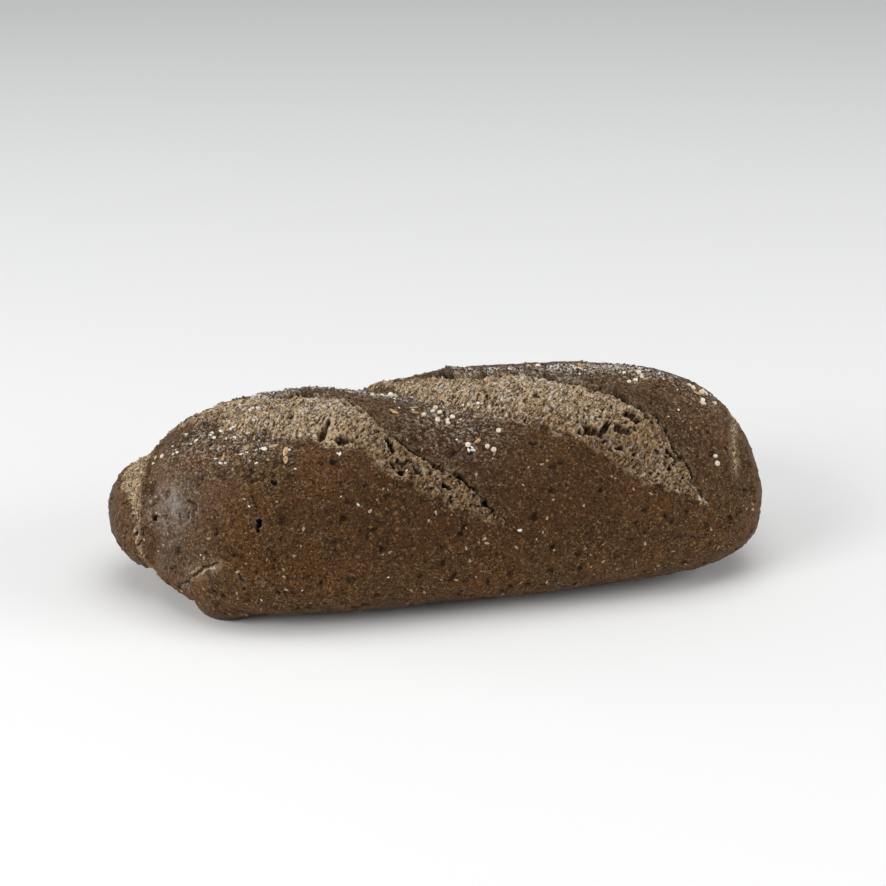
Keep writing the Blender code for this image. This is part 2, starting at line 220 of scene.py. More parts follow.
# Slits in that ring: (x, girth) of both ends, half width and depth in mm
END_SLITS = ((-129.9, 5.6, -127.6, -1.6, 0.6, 2.2), (-130.4, 24.9, -128.0, 15.7, 0.6, 2.4),
             (-133.5, 38.0, -130.3, 28.5, 0.7, 2.6), (-133.9, 44.8, -132.3, 38.0, 0.6, 2.2),
             (-133.3, 58.3, -132.0, 49.1, 0.6, 2.2), (-132.7, 67.1, -131.6, 58.6, 0.5, 2.0),
             (-133.9, 92.0, -132.9, 82.1, 0.6, 2.2), (-132.9, 105.1, -132.0, 94.9, 0.6, 2.2),
             (-136.9, 50.4, -134.8, 47.8, 0.8, 1.6))

# Grooves along the crust: corner points (x, girth) in mm, then half width and depth
GROOVES = ((((-119, 118), (-115, 104), (-111, 95.5), (-107, 90.5), (-104, 88.5)), 0.6 * MM, 1.7 * MM),
           (((-114.0, 101), (-111, 95.5), (-105, 89.3)), 1.5 * MM, 0.7 * MM),
           (((-96.9, 92.5), (-95.2, 95), (-92.6, 98.5)), 0.55 * MM, 1.6 * MM),
           (((-89, 94), (-87.4, 95.6)), 0.5 * MM, 1.2 * MM),
           (((136, 12), (134, 30), (126.5, 49), (124, 60), (122, 69)), 1.2 * MM, 0.4 * MM))

# Crust skin
SKIN_ROUGH = 0.2 * MM
SKIN_ROUGH_SIZE = 2.2 * MM
SKIN_WAVE = 0.5 * MM
SKIN_WAVE_SIZE = 7.0 * MM
SKIN_BEND = 0.8 * MM
SKIN_BEND_SIZE = 3.0 * MM
PIT_DEPTH = 0.9 * MM
PIT_SIZE = 5.0 * MM
PIT_SHARE = (0.35, 0.8)
GRIT_RISE = 0.35 * MM
GRIT_CELL = 3.0 * MM
WRINKLE_RISE = 1.6 * MM
WRINKLE_SIZE = 2.6 * MM
WRINKLE_STRETCH = 5.0
RAGGED_RISE = 2.4 * MM
RAGGED_SIZE = 2.0 * MM

# Where flour lies thick: x, girth, reach in x, reach in girth in mm, and strength
FLOUR_PATCHES = ((-76, -11, 15, 8, 1.1), (-52, -18, 19, 9, 1.3), (-58, -7, 14, 6, 0.8),
                 (-30, -9, 10, 9, 0.8), (-86, 26, 26, 14, 0.4), (-104, 4, 12, 14, 0.4),
                 (-18, -2, 16, 10, 0.7), (2, 26, 18, 18, 0.4), (28, -11, 15, 8, 0.9),
                 (56, -5, 19, 10, 1.1), (88, -11, 16, 8, 0.9), (94, -2, 22, 12, 0.7),
                 (120, 14, 12, 14, 0.3), (10, -38, 40, 8, 0.5), (-70, -50, 30, 16, 0.3),
                 (50, -50, 40, 16, 0.3), (-52, 16, 13, 11, 0.8), (46, 18, 20, 12, 0.6),
                 (12, 0, 14, 12, 0.3), (4, 30, 34, 26, 0.1), (110, 30, 26, 30, 0.1))

# Where crumb and crust are browner: the same columns. The two wide patches at girth 72 darken the front of
# the crust as painted shade.
BROWN_AND_SHADE_PATCHES = ((-35, 72, 55, 19, 1.0), (42, 72, 48, 20, 0.9), (20, 40, 26, 12, 0.5), (81, 53, 9, 7, 0.6),
                 (-103, 0, 12, 14, 0.7), (-20, 50, 18, 14, 0.9), (-4, 62, 16, 16, 1.0),
                 (62, 52, 16, 12, 0.8), (98, 54, 16, 18, 0.8), (-36, 40, 10, 10, 0.5),
                 (84, 40, 14, 14, 0.4))
# Where the crumb is torn wide open
OPEN_PATCHES = ((-50, 37, 13, 8, 0.6), (-22, 48, 16, 14, 1.0), (-4, 62, 16, 14, 1.0),
                (74, 34, 16, 20, 1.0), (96, 52, 18, 20, 0.8), (60, 48, 12, 10, 0.8), (16, -5, 12, 5, 0.7))
# Where the torn crumb is smooth
SMOOTH_PATCHES = ((81, 53, 9, 7, 1.0), (-33, 52, 7, 5, 0.7), (-82, 8, 8, 6, 0.5))
# Where the crust is wrinkled
WRINKLED_PATCHES = ((-104, 76, 14, 18, 0.8), (-62, 50, 30, 14, 0.35), (-122, 88, 8, 20, 0.5),
                    (90, 20, 30, 20, 0.3), (20, 60, 60, 20, 0.25))
# Where the crust has a soft sheen, from its coat and from pale specks painted as glints
SHEEN_PATCHES = ((-121, 63, 10, 20, 0.42), (-104, 48, 13, 14, 0.2), (-128, 90, 8, 30, 0.2),
                 (-120, 10, 20, 20, 0.12), (0, -30, 160, 60, 0.06))

# Reach, in grid cells, within which a place counts as high or low: low places get painted shade, high places
# get painted light on the crumb and more flour on the crust
CRUST_SHADE_CELLS = 4.0
CRUMB_SHADE_CELLS = (1.6, 6.0)
# The crust is smooth where it lies on the floor, up to full relief at this height
SMOOTH_FOOT = 8.0 * MM
RINGS = 820
TURNS = 680
CRUST_TRIANGLES = 192000

# Camera: it looks at the loaf as the photograph does
VIEW_AZIMUTH = -14.0
VIEW_ELEVATION = 22.0
VIEW_DISTANCE = 1.0
VIEW_TARGET = (2.7 * MM, -0.1 * MM, 40.0 * MM)
FOCAL_PIXELS = 2256.0
FRAME_PIXELS = 886.0
TARGET_PIXEL = (440.5, 480.5)
SENSOR = 36.0


# Form of the bare body


def smooth_step(low, high, value):
    share = np.clip((value - low) / (high - low), 0.0, 1.0)
    return share * share * (3.0 - 2.0 * share)


def falloff(distance, reach):
    return np.exp(-(distance / reach) ** 2)


def largest(*values):
    """The largest of several values at each place."""
    return np.maximum.reduce(values)


def profile(share, power):
    """Half breadth, as a share of the full one, at a share of the way to the end."""
    return (1.0 - np.clip(np.abs(share), 0.0, 1.0) ** power) ** (1.0 / power)


def spine(x):
    """Middle of each ring: at the folded left end it bends back to the cap's centre."""
    bend = smooth_step(*BEND_X, x)
    return CAP_CENTRE[1] * bend, WAIST_HEIGHT + (CAP_CENTRE[2] - WAIST_HEIGHT) * bend


def lobe_reach(x, turn, centre, radii):
    """How far a round lobe reaches from the spine at a turn, or zero where it is absent."""
    mid_y, mid_z = spine(x)
    across, up = np.sin(turn), np.cos(turn)
    off_y, off_z = mid_y - centre[1], mid_z - centre[2]
    room = 1.0 - ((x - centre[0]) / radii[0]) ** 2
    a = (across / radii[1]) ** 2 + (up / radii[2]) ** 2
    b = 2.0 * (up * off_z / radii[2] ** 2 - across * off_y / radii[1] ** 2)
    c = (off_y / radii[1]) ** 2 + (off_z / radii[2]) ** 2 - room
    inside = b * b - 4.0 * a * c
    reach = (np.sqrt(np.maximum(inside, 0.0)) - b) / (2.0 * a)
    return np.where(inside > 0.0, np.maximum(reach, 0.0), 0.0)


def strap_dip(x, girth):
    """How far the crown is held down under the strap between the cuts."""
    middle = STRAP_X + STRAP_SLANT * (girth - STRAP_GIRTH)
    fade = smooth_step(*STRAP_BACK_FADE, girth) * smooth_step(*STRAP_FRONT_FADE, girth)
    return STRAP_DEPTH * fade * falloff(x - middle, STRAP_WIDTH)


def ring_reach(x, turn, girth):
    """Distance of the bare body from its spine."""
    right = x > BELLY_X
    share = (x - BELLY_X) / np.where(right, RIGHT_REACH, LEFT_REACH)
    half_width = WIDTH / 2 * profile(share, np.where(right, PLAN_POWER[1], PLAN_POWER[0]))
    crown = profile(share, np.where(right, CROWN_POWER[1], CROWN_POWER[0]))
    base = profile(share, np.where(right, BASE_POWER[1], BASE_POWER[0]))
    across, up = np.sin(turn), np.cos(turn)
    upper = up > 0.0
    rise = spine(x)[1] - WAIST_HEIGHT
    height = np.where(upper, (HEIGHT - WAIST_HEIGHT) * crown, WAIST_HEIGHT * BASE_SINK * base + rise)
    power = np.where(upper, UPPER_RING_POWER, LOWER_RING_POWER)
    least = 1e-7
    side = (np.abs(across) / np.maximum(half_width, least)) ** power
    top = (np.abs(up) / np.maximum(height, least)) ** power
    reach = (side + top) ** (-1.0 / power)
    reach = reach - strap_dip(x, girth) * np.clip(up, 0.0, 1.0)
    for centre, radii, softness in ((CAP_CENTRE, CAP_RADII, CAP_SOFTNESS),
                                    (FOOT_CENTRE, FOOT_RADII, FOOT_SOFTNESS)):
        lobe = lobe_reach(x, turn, centre, radii)
        nearness = np.maximum(softness - np.abs(reach - lobe), 0.0)
        reach = np.maximum(reach, lobe) + nearness ** 2 / (4.0 * softness)
    return reach


def bare_points(x, girth):
    """Points of the bare body, seated over the middle of its base."""
    turn = np.radians(girth / MM)
    reach = ring_reach(x, turn, girth)
    mid_y, mid_z = spine(x)
    return np.stack([x - SEAT[0], mid_y - reach * np.sin(turn) - SEAT[1],
                     mid_z + reach * np.cos(turn)], axis=-1)


def unit(vectors):
    return vectors / np.maximum(np.linalg.norm(vectors, axis=-1, keepdims=True), 1e-12)


def cut_place(cut, x, girth):
    """Distance past a cut's front edge, distance short of its back edge, and its width."""
    along = (x + girth) / math.sqrt(2)
    across = (x - girth) / math.sqrt(2)
    stations, fronts, backs = (np.array(column) * MM for column in zip(*cut))
    front = np.interp(along, stations, fronts)
    back = np.interp(along, stations, backs)
    return across - front, back - across, back - front


def groove_distance(corners, x, girth):
    """Distance in the (x, girth) plane to a line through the corners."""
    nearest = np.full(np.shape(x), 1.0)
    for start, end in zip(corners[:-1], corners[1:]):
        start, end = np.array(start) * MM, np.array(end) * MM
        run = end - start
        share = ((x - start[0]) * run[0] + (girth - start[1]) * run[1]) / (run @ run)
        share = np.clip(share, 0.0, 1.0)
        gap = np.hypot(x - start[0] - share * run[0], girth - start[1] - share * run[1])
        nearest = np.minimum(nearest, gap)
    return nearest


# Noise fields


def field(points, size, seed, sample):
    """Values of a noise function at points, in lumps of the given size."""
    shifted = (points / size + seed * 17.3).reshape(-1, 3).tolist()
    values = np.array([sample(place) for place in shifted])
    return values.reshape(points.shape[:-1] + values.shape[1:])


def lumps(points, size, seed, octaves=3):
    """Smooth unevenness between about -1 and 1."""
    return field(points, size, seed, lambda place: noise.fractal(place, 0.9, 2.1, octaves))


def strands(points, size, seed):
    """Sharp ridges like torn threads, between about 0 and 1."""
    return field(points, size, seed,
                 lambda place: noise.ridged_multi_fractal(place, 1.0, 2.2, 3, 1.0, 2.0)) / 1.9


def pores(points, size, seed, share):
    """1 in round pores of uneven size set at random, 0 between them, and nearness to their rims."""

    def nearest(place):
        distances, middles = noise.voronoi(place)
        middle = middles[0]
        return distances[0], (middle.x * 7.13 + middle.y * 3.71 + middle.z * 5.37) % 1.0

    found = field(points, size, seed, nearest)
    distance, chance = found[..., 0], found[..., 1]
    reach = 0.14 + 0.36 * (1.0 - chance / np.maximum(share, 1e-3))
    reach = np.where(chance < share, reach, 1e-3)
    rim = (chance < share) * falloff(distance - 1.15 * reach, 0.07)
    return smooth_step(reach, 0.62 * reach, distance), rim


# Crust


def hollow_depth(rows, x, girth, wobble):
    """Depth of long or round hollows, and nearness to their rims."""
    depth = np.zeros(np.shape(x))
    rim = np.zeros(np.shape(x))
    for start_x, start_girth, end_x, end_girth, half_width, full in rows:
        ends = ((start_x, start_girth), (end_x, end_girth))
        gap = groove_distance(ends, x, girth) / (half_width * MM) + wobble
        depth = np.maximum(depth, full * MM * smooth_step(1.1, 0.65, gap))
        rim = np.maximum(rim, falloff(gap - 1.25, 0.2))
    return depth, rim


def end_ring(x, girth):
    """1 on the torn ring between the crust's lip and the cap, and distance from the lip."""
    degrees, lips, edges = zip(*END_TEAR)
    lip = np.interp(girth / MM, degrees, lips) * MM
    edge = np.interp(girth / MM, degrees, edges) * MM
    inner = smooth_step(edge - 0.8 * MM, edge + 0.8 * MM, x)
    return inner * smooth_step(lip + 0.4 * MM, lip - 0.4 * MM, x), lip - x


def patches(rows, x, girth):
    """Sum of soft round patches, held at 1."""
    total = np.zeros(np.shape(x))
    for place_x, place_girth, reach_x, reach_girth, strength in rows:
        away = ((x / MM - place_x) / reach_x) ** 2 + ((girth / MM - place_girth) / reach_girth) ** 2
        total = total + strength * np.exp(-away)
    return np.clip(total, 0.0, 1.0)


def local_height(height, cells):
    """Height over the mean of what lies within a number of grid cells."""
    rows, columns = height.shape
    frequency = np.fft.fftfreq(rows)[:, None] ** 2 + np.fft.rfftfreq(columns)[None, :] ** 2
    soft = np.fft.irfft2(np.fft.rfft2(height) * np.exp(-2.0 * (math.pi * cells) ** 2 * frequency),
                         s=height.shape)
    return height - soft


def edge_wander(points):
    wander = EDGE_WANDER * lumps(points, EDGE_WANDER_SIZE, 5)
    return wander + EDGE_NICK * lumps(points, EDGE_NICK_SIZE, 6)


def torn_share(past_front, short_of_back, width, wander):
    """1 on torn crumb, fading raggedly into the crust at the front edge."""
    present = smooth_step(*CRUMB_WIDTHS, width)
    front = smooth_step(*TORN_FRONT, past_front + wander)
    back = smooth_step(*TORN_BACK, short_of_back + 0.5 * wander)
    return present * front * back


def near_cuts(x, girth):
    """1 over the cuts, fading out a little way past their edges."""
    nearness = np.zeros(np.shape(x))
    for cut in CUTS:
        past_front, short_of_back, width = cut_place(cut, x, girth)
        inside = smooth_step(-4 * MM, -0.5 * MM, past_front) * smooth_step(-1.5 * MM, 0.0, short_of_back)
        nearness = np.maximum(nearness, inside * smooth_step(0.0, 3 * MM, width))
    return nearness


def skin_height(x, girth, points, flour):
    """Fine unevenness of the baked skin: waves, pits, grit, wrinkles and a ragged floury back."""
    height = CRUST_LUMP * lumps(points, CRUST_LUMP_SIZE, 2)
    height = height + SKIN_ROUGH * lumps(points, SKIN_ROUGH_SIZE, 3)
    height = height + SKIN_WAVE * lumps(points, SKIN_WAVE_SIZE, 4)
    bend = SKIN_BEND * lumps(points, SKIN_BEND_SIZE, 23, 2)[..., None]
    pit = smooth_step(*PIT_SHARE, lumps(points, PIT_SIZE, 7, 4))
    drawn_out = (x - girth) / WRINKLE_STRETCH
    across = np.stack([x + girth, drawn_out, np.zeros(np.shape(x))], axis=-1) / math.sqrt(2)
    wrinkle = (strands(across + bend, WRINKLE_SIZE, 26) - 0.6) * patches(WRINKLED_PATCHES, x, girth)
    grit, _ = pores(points + bend, GRIT_CELL, 24, 0.3 + 0.35 * flour)
    ragged = strands(points + bend, RAGGED_SIZE, 8) - 0.6
    height = height - PIT_DEPTH * pit + GRIT_RISE * grit + WRINKLE_RISE * wrinkle
    return height + RAGGED_RISE * flour * ragged


def end_tear(x, girth, wander, points):
    """Height and masks of the torn ring round the left end, with painted shade in its slits."""
    ring, past_lip = end_ring(x + 0.4 * wander, girth)
    web = strands(points, END_WEB_SIZE, 8)
    slit, _ = hollow_depth(END_SLITS, x, girth, 0.3 * lumps(points, 2 * MM, 25))
    lip = smooth_step(-1.0 * MM, -0.1 * MM, past_lip) * smooth_step(0.4 * MM, -0.05 * MM, past_lip)
    height = END_LIP * lip - ring * (END_TEAR_DEPTH - END_WEB_RISE * (web - 0.5)) - slit
    # The third mask is painted shade in the slits, from their depth
    return height, ring, smooth_step(0.3 * MM, 1.2 * MM, slit), lip


def cut_edges(cut, x, girth, wander, flap):
    """Height and lean of the crust at a cut, its painted shade over the trench and under a raised flap, and
    its torn and rim masks.
    """
    past_front, short_of_back, width = cut_place(cut, x, girth)
    present = smooth_step(*EAR_WIDTHS, width)
    front = past_front + wander * present
    back = short_of_back + 0.6 * wander * present
    open_front = smooth_step(*TRENCH_FRONT, front)
    open_back = smooth_step(*TRENCH_BACK, back)
    inside = open_front * open_back * smooth_step(*CRUMB_WIDTHS, width)
    depth = TRENCH_DEPTH * np.clip(width / TRENCH_WIDTH, 0.25, 1.0)
    behind = np.exp(-np.maximum(-back, 0.0) / EAR_SPREAD) * smooth_step(1.0 * MM, -0.6 * MM, back)
    ear = (EAR_RISE + flap) * present * behind * (1.0 + 0.7 * wander / EDGE_WANDER)
    # Painted shadow under a raised flap, and painted shade over the trench inside the gap
    flap_shadow = smooth_step(*FLAP_TOP, back) * smooth_step(*FLAP_FOOT, back)
    flap_shadow = flap_shadow * smooth_step(*FLAP_RISES, flap)
    gap_shade = np.maximum(0.9 * smooth_step(0.1, 0.45, inside), flap_shadow)
    torn = torn_share(past_front, short_of_back, width, wander)
    rim = 0.5 * present * falloff(back + 0.3 * MM, 0.4 * MM)
    lean = (EAR_LEAN + 0.6 * flap) * present * np.exp(-np.abs(back + 0.6 * MM) / (1.8 * MM))
    return ear - depth * inside, lean, gap_shade, torn, rim


def crust_holes(x, girth, points):
    """Depth of the hollows and pits in the crust, and their torn, painted shade and rim masks."""
    wobble = HOLLOW_WOBBLE * lumps(points, HOLLOW_WOBBLE_SIZE, 19)
    hollow, hollow_rim = hollow_depth(HOLLOWS, x, girth, wobble)
    pits, pit_rim = hollow_depth(PITS, x, girth, 0.9 * wobble)
    over = near_cuts(x, girth)
    depth = np.maximum(hollow * over, pits)
    torn = smooth_step(0.5 * MM, 2.0 * MM, hollow * over)
    # Painted shade: the deeper the hollow or pit, the darker
    dark = smooth_step(0.5 * MM, 1.6 * MM, depth)
    return depth - PIT_RIM * pit_rim, torn, dark, np.maximum(0.5 * pit_rim, hollow_rim * over)


def crust_grooves(x, girth):
    """Depth of the grooves along the crust, and their torn, painted shade and rim masks."""
    depth, torn, dark, rim = (np.zeros(np.shape(x)) for _ in range(4))
    for corners, half_width, full in GROOVES:
        distance = groove_distance(corners, x, girth)
        groove = falloff(distance, half_width)
        depth = depth + full * groove
        torn = np.maximum(torn, smooth_step(0.25, 0.7, groove))
        # Painted shade down the middle of the narrow grooves
        narrow = smooth_step(1.1 * MM, 0.8 * MM, half_width)
        dark = np.maximum(dark, smooth_step(0.35, 0.75, groove) * narrow)
        rim = np.maximum(rim, 0.45 * falloff(distance - 1.6 * half_width, 0.5 * half_width))
    return depth, torn, dark, rim


def crust_relief(x, girth, points):
    """Height of the crust over the bare body, its lean over the gaps, and its masks."""
    wander = edge_wander(points)
    flour = patches(FLOUR_PATCHES, x, girth)
    flap, _ = hollow_depth(FLAPS, x, girth, 0.0)
    tear, ring, slit, lip = end_tear(x, girth, wander, points)
    holes, hole_torn, hole_shade, hole_rim = crust_holes(x, girth, points)
    grooves, groove_torn, groove_shade, groove_rim = crust_grooves(x + 0.3 * wander, girth)
    heights, leans, gap_shade, torn, rims = zip(*(cut_edges(cut, x, girth, wander, flap) for cut in CUTS))
    height = skin_height(x, girth, points, flour) + sum(heights) + tear - holes - grooves
    relief = local_height(height, CRUST_SHADE_CELLS)
    # Painted shade on places lower than the crust around them
    low = smooth_step(0.2 * MM, 0.8 * MM, -relief)
    masks = {"torn": largest(*torn, ring, hole_torn, groove_torn),
             "rim": np.clip(largest(*rims, lip, hole_rim, groove_rim), 0.0, 1.0),
             "flour": flour,
             "brown": patches(BROWN_AND_SHADE_PATCHES, x, girth),
             "sheen": patches(SHEEN_PATCHES, x, girth),
             # dark: painted shade in the gaps, under flaps, in slits, hollows, grooves and low places
             "dark": largest(*gap_shade, slit, hole_shade, groove_shade, low),
             "high": smooth_step(0.05 * MM, 0.45 * MM, relief)}
    return height, sum(leans), masks


def surface_frame(points, axis_x=0, axis_girth=1, closed=True):
    """Unit vectors along x, round the girth and outward at each grid point."""
    along = unit(np.gradient(points, axis=axis_x))
    if closed:
        turned = np.roll(points, -1, axis=axis_girth) - np.roll(points, 1, axis=axis_girth)
    else:
        turned = np.gradient(points, axis=axis_girth)
    turned = unit(turned)
    return along, turned, unit(np.cross(turned, along))


def grid_quads(rows, columns, closed):
    index = np.arange(rows * columns).reshape(rows, columns)
    ahead = np.roll(index, -1, axis=1) if closed else index[:, 1:]
    here = index if closed else index[:, :-1]
    corners = (here[:-1], ahead[:-1], ahead[1:], here[1:])
    return np.stack([corner.ravel() for corner in corners], axis=-1)


def new_mesh(name, points, quads, triangles=None, outline=None):
    """A mesh from arrays: quads, then triangles, then one face round an outline."""
    groups = [quads]
    if triangles is not None:
        groups.append(triangles)
    if outline is not None:
        groups.append(np.array([outline]))
    counts = np.concatenate([np.full(len(group), group.shape[1]) for group in groups])
    corners = np.concatenate([group.ravel() for group in groups])
    data = bpy.data.meshes.new(name)
    data.vertices.add(len(points))
    data.vertices.foreach_set("co", np.asarray(points, dtype=np.float32).ravel())
    data.loops.add(len(corners))
    data.loops.foreach_set("vertex_index", corners.astype(np.int32))
    data.polygons.add(len(counts))
    starts = np.concatenate([[0], np.cumsum(counts)[:-1]])
    data.polygons.foreach_set("loop_start", starts.astype(np.int32))
    data.update(calc_edges=True)
    data.validate()
    data.shade_smooth()
    return data


def set_masks(data, masks):
    for name, values in masks.items():
        layer = data.attributes.new(name, "FLOAT", "POINT")
        layer.data.foreach_set("value", np.asarray(values, dtype=np.float32).ravel())


def new_piece(name, data):
    piece = bpy.data.objects.new(name, data)
    bpy.context.scene.collection.objects.link(piece)
    return piece


def apply_modifiers(piece):
    graph = bpy.context.evaluated_depsgraph_get()
    result = bpy.data.meshes.new_from_object(piece.evaluated_get(graph))
    piece.modifiers.clear()
    piece.data = result


def crust_mesh(detail):
    """Closed crust: rings joined by faces and a fan at each end."""
    rings, turns = int(RINGS * detail), int(TURNS * detail)
    half_length = (RIGHT_REACH + BELLY_X - CAP_CENTRE[0] + CAP_RADII[0]) / 2
    middle = RIGHT_REACH + BELLY_X - half_length
    stations = middle - half_length * np.cos(np.linspace(0.0, math.pi, rings + 2)[1:-1])
    girths = np.linspace(-180.0, 180.0, turns, endpoint=False) * MM
    x, girth = np.meshgrid(stations, girths, indexing="ij")
    points = bare_points(x, girth)
    along, turned, outward = surface_frame(points)
    height, lean, masks = crust_relief(x, girth, points)
    above_floor = smooth_step(0.0, SMOOTH_FOOT, points[..., 2])
    points = points + outward * (height * above_floor)[..., None]
    points = points + unit(turned - along) * lean[..., None]
    points[..., 2] = np.maximum(points[..., 2], 0.0)
    tips = np.stack([points[0].mean(axis=0), points[-1].mean(axis=0)])
    count = rings * turns
    first = np.arange(turns)
    last = count - turns + first
    fans = np.concatenate([
        np.stack([np.full(turns, count), np.roll(first, -1), first], axis=-1),
        np.stack([np.full(turns, count + 1), last, np.roll(last, -1)], axis=-1)])
    every = np.concatenate([points.reshape(-1, 3), tips])
    data = new_mesh("loaf_crust", every, grid_quads(rings, turns, True), fans)
    set_masks(data, {key: np.append(values.ravel(), [0.0, 0.0]) for key, values in masks.items()})
    return data


# Crumb


def crumb_body(past_front, short_of_back, width, points, flap):
    """Large form of the torn crumb over the bare body, and how far it has parted from the back edge."""
    fullness = np.clip(width / FULL_WIDTH, 0.0, 1.0)
    share = np.clip(past_front / np.maximum(width, 1e-6), 0.0, 1.0)
    mound = MOUND_RISE * fullness * (4.0 * share * (1.0 - share)) ** 0.7
    mound = mound - CRUMB_DIP * fullness * smooth_step(*CRUMB_DIP_FADE, short_of_back)
    risen = smooth_step(*CRUMB_FRONT, past_front)
    soft_lumps = lumps(points, CRUMB_LUMP_SIZE, 1)
    opened = np.clip(0.4 + 1.3 * soft_lumps, 0.0, 1.0)
    opened = np.maximum(opened, smooth_step(*FLAP_RISES, flap)) * smooth_step(*GAP_WIDTHS, width)
    gap = opened * smooth_step(*CRUMB_GAP, short_of_back)
    under = smooth_step(*CRUMB_TUCK, short_of_back)
    height = mound * risen - CRUMB_SINK * (1.0 - risen) - CRUMB_GAP_DEPTH * gap
    return height - CRUMB_UNDER * under * (1.0 - gap) + CRUMB_LUMP * soft_lumps * risen, gap


def crumb_texture(points, along, across, past_front, opening, smooth):
    """Relief of torn fibres, webs, folds and pores, and nearness to the pores' rims."""
    level = np.zeros(np.shape(along))
    bend = np.stack([*(lumps(points, CRUMB_BEND_SIZE, seed) for seed in (11, 12)), level], axis=-1) * MM
    flat = np.stack([along, across / FIBRE_STRETCH, level], axis=-1)
    fibre = strands(flat + 1.2 * bend, FIBRE_SIZE, 13)
    web = strands(points + bend, WEB_SIZE, 14)
    fold = 0.5 - np.sqrt(np.abs(lumps(points + 1.5 * bend, FOLD_SIZE, 20, 2)))
    pore, pore_rim = pores(points + 2.2 * bend, PORE_CELL, 15, 0.06 + 0.56 * opening)
    small, _ = pores(points + 1.6 * bend, SMALL_PORE_CELL, 16, 0.06 + 0.4 * opening)
    calm = 0.45 + 0.55 * smooth_step(*CRUMB_CALM, past_front)
    calm = calm * (1.0 - 0.85 * smooth)
    relief = FIBRE_RISE * (fibre - 0.6) + WEB_RISE * (web - 0.6) + FOLD_RISE * fold
    relief = relief * (1.0 - 0.45 * opening) - PORE_DEPTH * pore - SMALL_PORE_DEPTH * small
    return relief * calm + GRAIN_RISE * lumps(points, GRAIN_SIZE, 17), pore_rim


def crumb_shades(height, gap, hollow):
    """Painted shade on places of the crumb lower than their neighbours, in its gap and in its hollows, and
    painted light on places higher than their neighbours.
    """
    fine, wide = (local_height(height, cells) for cells in CRUMB_SHADE_CELLS)
    dark = smooth_step(0.1 * MM, 0.55 * MM, -fine) + smooth_step(0.4 * MM, 2.0 * MM, -wide)
    dark = largest(dark, smooth_step(0.3, 0.9, gap), smooth_step(1.0 * MM, 3.0 * MM, hollow))
    high = smooth_step(0.05 * MM, 0.35 * MM, fine) + 0.4 * smooth_step(0.3 * MM, 1.2 * MM, wide)
    return np.clip(dark, 0.0, 1.0), np.clip(high, 0.0, 1.0)


def crumb_relief(cut, x, girth, points, along, across, strength):
    """Height of the torn crumb over the bare body, and its masks."""
    past_front, short_of_back, width = cut_place(cut, x, girth)
    flap, _ = hollow_depth(FLAPS, x, girth, 0.0)
    height, gap = crumb_body(past_front, short_of_back, width, points, flap)
    opening = patches(OPEN_PATCHES, x, girth)
    texture, pore_rim = crumb_texture(points, along, across, past_front, opening,
                                      patches(SMOOTH_PATCHES, x, girth))
    hollow, rim = hollow_depth(HOLLOWS, x, girth, HOLLOW_WOBBLE * lumps(points, HOLLOW_WOBBLE_SIZE, 19))
    rim = np.maximum(rim, 0.8 * opening * pore_rim)
    height = height + strength * texture - hollow + HOLLOW_RIM * rim
    dark, high = crumb_shades(height, gap, hollow)
    torn = torn_share(past_front, short_of_back, np.maximum(width, 4 * MM), edge_wander(points))
    masks = {"torn": np.maximum(torn, smooth_step(1.5 * MM, 0.0, short_of_back)),
             "rim": rim, "flour": patches(FLOUR_PATCHES, x, girth),
             "brown": patches(BROWN_AND_SHADE_PATCHES, x, girth), "sheen": np.zeros(np.shape(x)),
             "dark": dark, "high": high}
    return height, masks


def crumb_grid(cut, step):
    """Along and across places of a grid over a cut and a little past its edges."""
    stations, fronts, backs = (np.array(column) * MM for column in zip(*cut))
    along = np.arange(stations[0] - 2 * MM, stations[-1] + 2 * MM, step)
    widest = (backs - fronts).max() + 2 * CRUMB_MARGIN
    share = np.linspace(0.0, 1.0, int(widest / step))
    front = np.interp(along, stations, fronts) - CRUMB_MARGIN
    back = np.interp(along, stations, backs) + CRUMB_MARGIN
    across = front[:, None] + (back - front)[:, None] * share[None, :]
    return np.broadcast_to(along[:, None], across.shape), across


def crumb_mesh(name, cut, detail, strength):
    """Closed lump of crumb: a torn top sheet, side walls and one face below."""
    along, across = crumb_grid(cut, CRUMB_STEP / detail)
    x = (along + across) / math.sqrt(2)
    girth = (along - across) / math.sqrt(2)
    points = bare_points(x, girth)
    forward, sideways, outward = surface_frame(points, closed=False)
    outward = outward * np.sign((outward * (points - points.mean(axis=(0, 1)))).sum())
    height, masks = crumb_relief(cut, x, girth, points, along, across, strength)
    slide = CRUMB_SLIDE * np.stack([lumps(points, CRUMB_SLIDE_SIZE, seed) for seed in (21, 22)], axis=-1)
    top = points + outward * height[..., None]
    top = top + forward * slide[..., :1] + sideways * slide[..., 1:]
    rows, columns = across.shape
    index = np.arange(rows * columns).reshape(rows, columns)
    rim = np.concatenate([index[0, :-1], index[:-1, -1], index[-1, :0:-1], index[:0:-1, 0]])
    below = (top - outward * CRUMB_BODY).reshape(-1, 3)[rim]
    base = rows * columns + np.arange(len(rim))
    walls = np.stack([rim, base, np.roll(base, -1), np.roll(rim, -1)], axis=-1)
    quads = np.concatenate([grid_quads(rows, columns, False), walls])
    data = new_mesh(name, np.concatenate([top.reshape(-1, 3), below]), quads, outline=base[::-1])
    set_masks(data, {key: np.append(values.ravel(), np.zeros(len(rim))) for key, values in masks.items()})
    return data


# Shader maths


